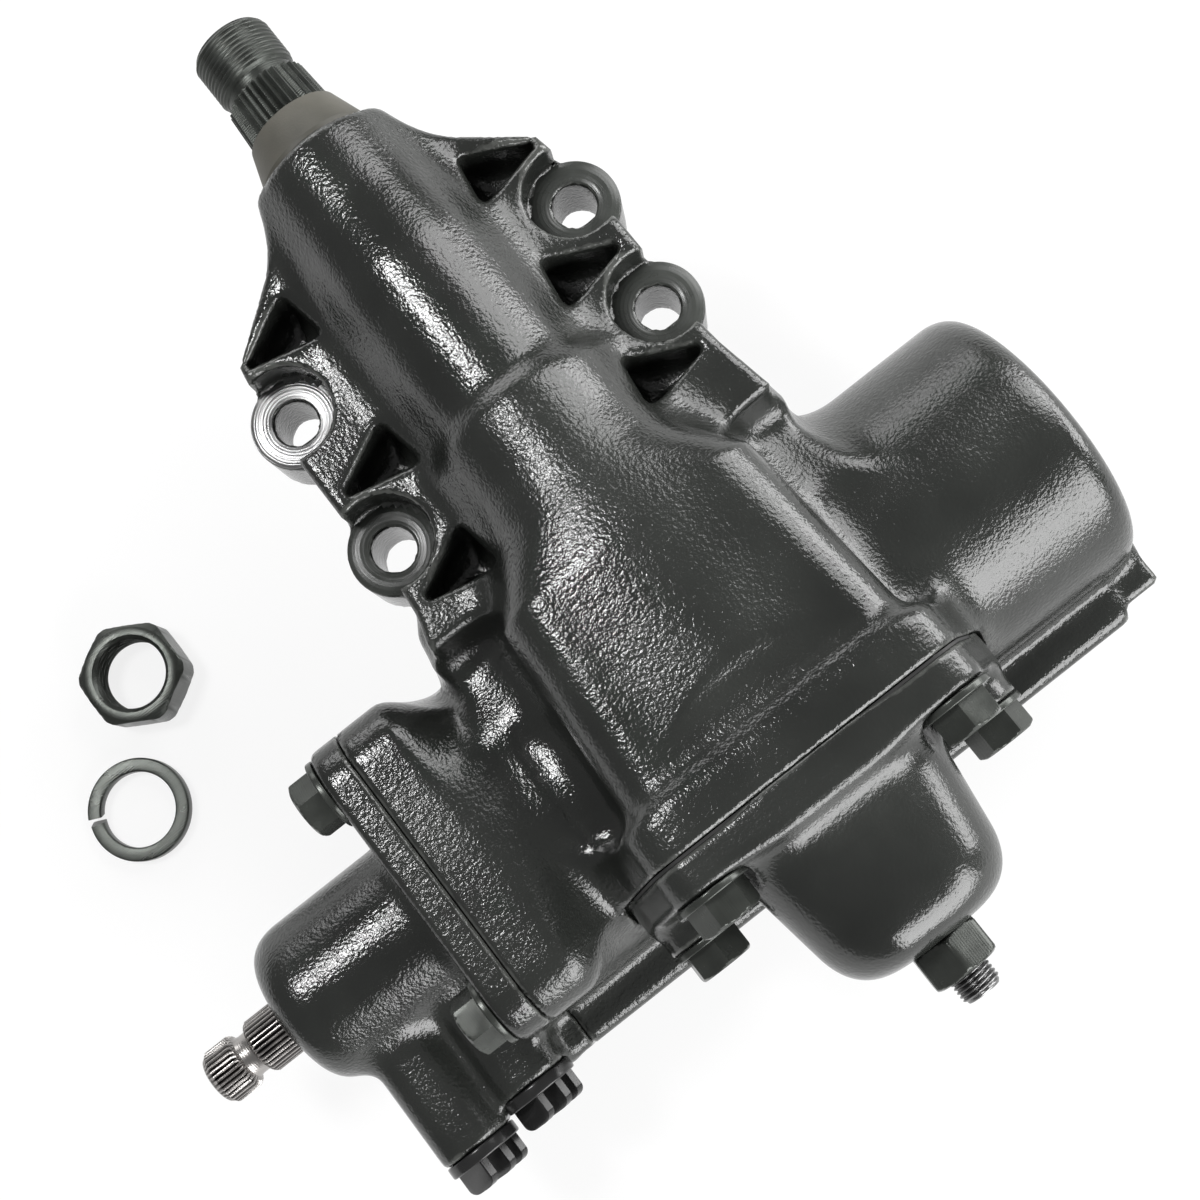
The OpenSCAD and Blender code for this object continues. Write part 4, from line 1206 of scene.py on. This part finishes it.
@dataclass
class Adjuster:
    """Adjusting screw with its thread, and the lock nut on the dome's end; heights run outwards, against y."""

    crest_r: float = 5.95
    thread_low: float = 64.6
    tip: float = 110.0
    head_r: float = 7.9
    head_low: float = 64.4
    head_high: float = 68.4
    nut_across: float = 19.0
    nut_low: float = 92.0
    nut_high: float = 103.0

    def build(self) -> list[Piece]:
        """The screw, whose head sits in the sector shaft, and its nut.

        Returns:
            Both pieces.
        """
        thread = thread_grid(self.crest_r, 0.8, 1.25, self.thread_low, self.tip, 1.5)
        low, high, r = self.head_low, self.head_high, self.head_r
        head = turned_grid(*rounded_profile([(0.5, low), (r, low), (r, high), (0.5, high)], 0.4))
        screw = Patch().sheet(Axis.COVER.place(thread)).sheet(Axis.COVER.place(head))
        nut = Patch().sheet(Axis.COVER.place(hex_block(self.nut_across, self.nut_low, self.nut_high, True)))
        return [
            settle(screw.piece("adjuster_screw", 50.0), Body.HOUSING, THREAD, "bare_steel", "adjusting_screw"),
            settle(nut.piece("adjuster_nut"), Body.HOUSING, BOLT_OXIDE, "black_steel", "adjuster_lock_nut"),
        ]


@dataclass
class LooseHardware:
    """The pitman nut and its spring washer, lying beside the gearbox."""

    nut_at: tuple[float, float] = (-149.0, 125.5)
    across: float = 32.0
    height: float = 14.0
    bore: float = 11.4
    pitch: float = 1.5
    chamfer: float = 1.6
    washer_at: tuple[float, float] = (-175.0, 90.0)
    washer_r: float = 14.7
    wire: tuple[float, float] = (4.6, 4.4)
    twist: float = 1.2
    split_deg: float = 155.0
    half_gap: float = 0.07

    def nut(self) -> Piece:
        """Hexagon outside, chamfered threaded bore inside, as one closed band round the axis.

        Returns:
            The nut.
        """
        outside = hex_block(self.across, 0.0, self.height, True)
        h = np.linspace(self.height - 0.2, 0.2, 70)[:, None]
        turn = np.linspace(0.0, 1.0, ROUND, endpoint=False)[None, :]
        wave = np.abs((h / self.pitch - turn) % 1.0 - 0.5) * 2.0
        flare = np.clip(self.chamfer - np.minimum(h, self.height - h), 0.0, self.chamfer)
        bore = turned_grid(np.maximum(self.bore + 0.55 * wave, self.bore + flare), h)
        band = np.concatenate([outside, bore, outside[:1]])
        patch = Patch().sheet(Axis.UP.place(band, (*self.nut_at, FLOOR_Z)), (False, False))
        return settle(patch.piece("pitman_hex_nut"), Body.HOUSING, OXIDE, "black_steel", "pitman_nut")

    def washer(self) -> Piece:
        """Square section swept round one turn with a slow rise, cut on the slant.

        Returns:
            The washer.
        """
        section = round_loop(*self.wire, 0.6, 5)
        t = np.linspace(0.0, 1.0, 121)[:, None]
        r = self.washer_r + section[None, :, 0]
        lift = section[None, :, 1] + self.wire[1] / 2 + self.twist * t
        slant = section[None, :, 1] / 16.0 * 0.45
        a = math.radians(self.split_deg) + self.half_gap + slant + t * (2 * math.pi - 2 * self.half_gap)
        grid = np.stack([r * np.cos(a), r * np.sin(a), lift * np.ones_like(a)], -1)
        patch = Patch().sheet(Axis.UP.place(grid[:, ::-1], (*self.washer_at, FLOOR_Z)))
        return settle(patch.piece("spring_washer", 40.0), Body.HOUSING, OXIDE, "black_steel", "pitman_lock_washer")

    def build(self) -> list[Piece]:
        """Both loose pieces."""
        return [self.nut(), self.washer()]


@dataclass
class PortPlug:
    """Plastic shipping plug: a disc with three rounded fins, pressed into a hydraulic port.

    Each fin is given by its place across the disc and its width.
    """

    name: str
    node: str
    x: float
    face: float
    stem_r: float = 6.9
    stem: float = 8.0
    disc_r: float = 11.8
    disc_t: float = 3.7
    fins: tuple[tuple[float, float], ...] = ((-6.6, 14.0), (0.0, 18.0), (6.6, 14.0))
    fin_h: float = 7.5
    lean_deg: float = 45.0

    def fin(self, across: float, width: float, foot: float) -> Array:
        """One fin: a rounded outline, cut flat at its foot, at four layers of its thickness, turned by the lean.

        Args:
            across: its place across the disc.
            width: its width.
            foot: height of the disc under it.

        Returns:
            Local (layers, points, 3) grid.
        """
        tall = self.fin_h + 6.0
        loop = round_loop(width, 2 * tall, 4.5, 8)
        loop[:, 1] = np.maximum(loop[:, 1], -1.0)
        layers = np.array([(-1.4, 0.92), (-1.2, 1.0), (1.2, 1.0), (1.4, 0.92)])
        u, v = loop[None, :, 0] * layers[:, 1:], (across + layers[:, :1]) * np.ones((1, len(loop)))
        rise = foot + loop[None, :, 1] * layers[:, 1:] * self.fin_h / tall
        c, s = math.cos(math.radians(self.lean_deg)), math.sin(math.radians(self.lean_deg))
        return np.stack([u * c - v * s, u * s + v * c, rise], -1)

    def build(self) -> Piece:
        """Stem, disc and fins, all pointing out of the port.

        Returns:
            The plug.
        """
        at = (self.x, 0.0, PISTON_Z)
        face, end, top = self.face, self.face - self.stem, self.face + self.disc_t
        stem = rounded_profile([(0.3, end), (self.stem_r, end), (self.stem_r, face)], 0.8)
        disc = rounded_profile([(5.0, face), (self.disc_r, face), (self.disc_r, top), (0.3, top)], 0.7)
        patch = Patch().sheet(Axis.COVER.place(turned_grid(*stem), at), (True, False))
        patch.sheet(Axis.COVER.place(turned_grid(*disc), at), (False, True))
        for across, width in self.fins:
            patch.sheet(Axis.COVER.place(self.fin(across, width, top)[:, ::-1], at))
        return settle(patch.piece(self.name, 50.0), Body.HOUSING, PLASTIC, "plastic_black", self.node)


@dataclass
class ShaftEnds:
    """Thread on the sector shaft and the machined seats of the frame lugs, the first of which is bare metal."""

    thread_low: float = 211.2
    thread_high: float = 226.6
    crest_r: float = 12.4
    seat_z: float = MainHousing.seat_z

    def thread(self) -> Piece:
        """Helical ridge that stands on the shaft's plain thread diameter.

        Returns:
            The thread.
        """
        grid = thread_grid(self.crest_r, 0.8, 1.5, self.thread_low, self.thread_high, 1.6)
        patch = Patch().sheet(Axis.OUTPUT.place(grid), (False, False))
        return settle(patch.piece("pitman_thread", 60.0), Body.SECTOR, OXIDE, "black_steel")

    def seat(self, number: int, x: float, y: float) -> Piece:
        """Faced ring on one lug, with its radius stored for the rings of the tool.

        Args:
            number: the lug's number.
            x: the lug's place across the shaft.
            y: its place along the shaft.

        Returns:
            The ring.
        """
        r = np.array([6.7, 6.9, 7.4, 10.0, 13.0, 13.2])
        h = np.array([-0.5, -0.15, 0.1, 0.1, 0.1, -0.2])
        grid = Axis.UP.place(turned_grid(r, h), (x, y, self.seat_z))[::-1]
        patch = Patch().sheet(grid, (False, False))
        piece = patch.piece(f"lug_seat_{number}", 0.0, turn=np.repeat(r[::-1] * MM, grid.shape[1]))
        finish, slot = (SEAT_DARK, "cast_black") if number else (SEAT_BRIGHT, "bare_steel")
        return settle(piece, Body.HOUSING, finish, slot)

    def build(self) -> list[Piece]:
        """The thread and the four seats.

        Returns:
            All five pieces.
        """
        sides = zip((-1, 1), MainHousing().lugs)
        lugs = [(side * at, lug_y) for side, (at, *along) in sides for lug_y in along]
        return [self.thread()] + [self.seat(number, x, y) for number, (x, y) in enumerate(lugs)]


@dataclass
class InputShaft:
    """Input shaft with two serrated bands, its plain journal, its rotor and the bore for the torsion bar.

    Heights run outwards, against x.
    """

    tip: float = 192.0
    nose: float = -NOSE_X
    far: float = 142.0
    near: float = 109.0
    band_r: float = 8.9
    journal_r: float = 10.0
    rotor_r: float = 10.95
    end_r: float = 7.0
    bore_r: float = 4.2
    teeth: int = 34
    tooth: float = 0.85

    def profile(self) -> Array:
        """Radius, height and share of the tooth depth along the shaft, from its tip to the end of its bore.

        Returns:
            (rows, 3) numbers.
        """
        band, tip, nose, end = self.band_r, self.tip, self.nose, self.near - 8
        return np.array([
            (0.3, tip, 0), (6.6, tip, 0), (7.4, tip - 0.4, 0), (8.0, tip - 1.3, 0.45), (band, tip - 2.2, 1),
            (band, 182.2, 1), (8.1, 181.2, 0.5), (6.9, 180.6, 0), (6.6, 179.4, 0), (6.6, 177.6, 0), (6.9, 176.6, 0),
            (8.1, 176.0, 0.5), (band, 175.0, 1), (band, nose + 2.4, 1), (band, nose + 2.0, 0),
            (self.journal_r, nose + 1.0, 0), (self.journal_r, self.far + 0.5, 0), (self.rotor_r, self.far, 0),
            (self.rotor_r, self.near + 1, 0), (self.end_r, self.near + 1, 0), (self.end_r, end, 0),
            (self.bore_r, end, 0), (self.bore_r, nose + 9, 0),
        ])

    def build(self) -> Piece:
        """Turned profile whose radius drops between the teeth of both bands: r = R - depth * groove(a * teeth).

        Returns:
            The shaft, with its grooves' depth stored.
        """
        rows = self.profile()
        columns = self.teeth * 8
        a = np.linspace(0.0, 1.0, columns, endpoint=False)[None, :]
        groove = np.clip(1.35 * np.abs((a * self.teeth) % 1.0 - 0.5) * 2.0 - 0.3, 0.0, 1.0)
        grid = turned_grid(rows[:, :1] - self.tooth * rows[:, 2:] * groove, rows[:, 1], columns)
        patch = Patch().sheet(Axis.INPUT.place(grid, (0, 0, PISTON_Z))[::-1])
        # The stored groove depth darkens the grooves as painted shade in the finish
        piece = patch.piece("serrated_input_shaft", 28.0, groove=(rows[:, 2:] * groove)[::-1].ravel())
        return settle(piece, Body.INPUT, SPLINE, "bare_steel", "input_shaft")


# Stage


@dataclass
class Studio:
    """Pale floor, soft lamps and the camera at the photograph's angle.

    The camera's numbers are in pixels of the photograph and its stand in the gear's frame. Each lamp has a name, a
    place and sides in metres, and a power in watts.
    """

    focal_px: float = 1897.8
    image_px: float = 1200.0
    nadir_px: tuple[float, float] = (764.6, 856.7)
    x_angle_deg: float = -38.2
    stand: Triple = (-23.1, -47.9, 508.0)
    sensor_mm: float = 36.0
    floor_half: float = 60000.0
    floor_glow: float = 0.82
    world_strength: float = 0.25
    aim: Triple = (-0.02, -0.12, 0.0)
    lamps: tuple[tuple[str, Triple, tuple[float, float], float], ...] = (
        ("strip", (-0.38, 0.37, 1.12), (0.22, 0.3), 7.5),
        ("right_high", (0.95, 0.32, 0.78), (0.8, 0.7), 9.0),
        ("right_low", (1.25, -0.1, 0.3), (1.1, 0.5), 13.0),
        ("front_low", (0.3, -1.3, 0.5), (1.3, 0.85), 27.0),
        ("far_low", (0.1, 1.2, 0.4), (1.0, 0.5), 5.0),
    )

    def camera(self) -> None:
        """Camera whose down direction meets the image at the nadir, turned by the angle of the gear's x axis."""
        half = self.image_px / 2
        down = np.array([self.nadir_px[0] - half, self.nadir_px[1] - half, self.focal_px])
        down /= np.linalg.norm(down)
        a = math.radians(self.x_angle_deg)
        x = np.array([math.cos(a), math.sin(a), 0.0])
        x[2] = -(x[:2] @ down[:2]) / down[2]
        x /= np.linalg.norm(x)
        axes = np.stack([x, np.cross(-down, x), -down])
        data = bpy.data.cameras.new("photo_camera")
        data.sensor_width = self.sensor_mm
        data.lens = self.focal_px / self.image_px * self.sensor_mm
        camera = bpy.data.objects.new("photo_camera", data)
        matrix = np.eye(4)
        matrix[:3, :3] = np.stack([axes[:, 0], -axes[:, 1], -axes[:, 2]], 1)
        matrix[:3, 3] = (np.array(self.stand) + SEAT) * MM
        camera.matrix_world = Matrix(matrix.tolist())
        bpy.context.scene.collection.objects.link(camera)
        bpy.context.scene.camera = camera

    def floor(self) -> None:
        """Wide white floor just under the part, which keeps the part's shadow."""
        signs = np.array([[-1, -1, 0], [1, -1, 0], [1, 1, 0], [-1, 1, 0]])
        floor = make_piece("floor", signs * self.floor_half + (0.0, 0.0, FLOOR_Z - 0.05), [[0, 1, 2, 3]])
        material = bpy.data.materials.new("pale_floor")
        material.use_nodes = True
        tree = material.node_tree
        tree.nodes.clear()
        path = add(tree, "ShaderNodeLightPath").outputs
        seen = math_node(tree, "MAXIMUM", path["Is Camera Ray"], path["Is Glossy Ray"])
        seen = math_node(tree, "MAXIMUM", seen, path["Is Transmission Ray"])
        share = math_node(tree, "MULTIPLY", seen, self.floor_glow)
        paint = add(tree, "ShaderNodeBsdfDiffuse", {"Color": grey(0.9)}).outputs[0]
        glow = add(tree, "ShaderNodeEmission", {"Color": grey(1.0), "Strength": 1.0}).outputs[0]
        both = add(tree, "ShaderNodeMixShader", {0: share, 1: paint, 2: glow}).outputs[0]
        add(tree, "ShaderNodeOutputMaterial", {"Surface": both})
        floor.data.materials.append(material)

    def lamp(self, name: str, at: Triple, size: tuple[float, float], watts: float) -> None:
        """Rectangular soft lamp that faces the gearbox's middle.

        Args:
            name: the lamp's name.
            at: its place in metres.
            size: its sides in metres.
            watts: its power.
        """
        data = bpy.data.lights.new(name, "AREA")
        data.shape = "RECTANGLE"
        data.size, data.size_y = size
        data.energy = watts
        lamp = bpy.data.objects.new(name, data)
        lamp.location = at
        lamp.rotation_euler = (Vector(self.aim) - Vector(at)).to_track_quat("-Z", "Y").to_euler()
        bpy.context.scene.collection.objects.link(lamp)

    def build(self) -> None:
        """Camera, floor, world and lamps."""
        self.camera()
        self.floor()
        world = bpy.data.worlds.new("studio")
        world.use_nodes = True
        sky = world.node_tree.nodes["Background"].inputs
        sky["Color"].default_value = grey(0.9)
        sky["Strength"].default_value = self.world_strength
        bpy.context.scene.world = world
        for lamp in self.lamps:
            self.lamp(*lamp)
        bpy.context.scene.view_settings.view_transform = "Standard"


def dress_nodes() -> None:
    """Gives each CAD node the finish of its material slot, or its own where the slot's doesn't suit it."""
    special = {"sector_dust_cover": BOOT, "sector_shaft": OXIDE}
    for part in frame["record"]["subparts"]:
        special.get(part["node"], SLOTS[part["material_slot"]]).dress(frame["nodes"][part["node"]])


def main() -> None:
    """Builds the stage, the castings, the fasteners and the shaft ends, in order."""
    logging.basicConfig(level=logging.INFO, format="%(name)s: %(message)s")
    Studio().build()
    dress_nodes()
    cover, valve = SideCover(), ValveHousing()
    for casting, paint in ((MainHousing(), PAINT), (cover, SMOOTH_PAINT), (valve, PAINT)):
        casting.build(paint)
    cover_seats = tuple((x, -h, z) for x, z, h in cover.bolts)
    HexBolts("cover_bolts", "side_cover_bolts", Axis.COVER, cover_seats).build()
    corners = (-VALVE_BOLT, VALVE_BOLT)
    valve_seats = tuple((FLANGE_X, VALVE_Y + y, PISTON_Z + z) for y in corners for z in corners)
    HexBolts("valve_bolts", "valve_housing_bolts", Axis.INPUT, valve_seats).build()
    Adjuster().build()
    LooseHardware().build()
    for use, (x, y) in zip(("pressure", "return"), valve.ports):
        PortPlug(f"{use}_plug", f"{use}_port_plug", x, -y).build()
    ShaftEnds().build()
    InputShaft().build()


if __name__ == "__main__":
    main()
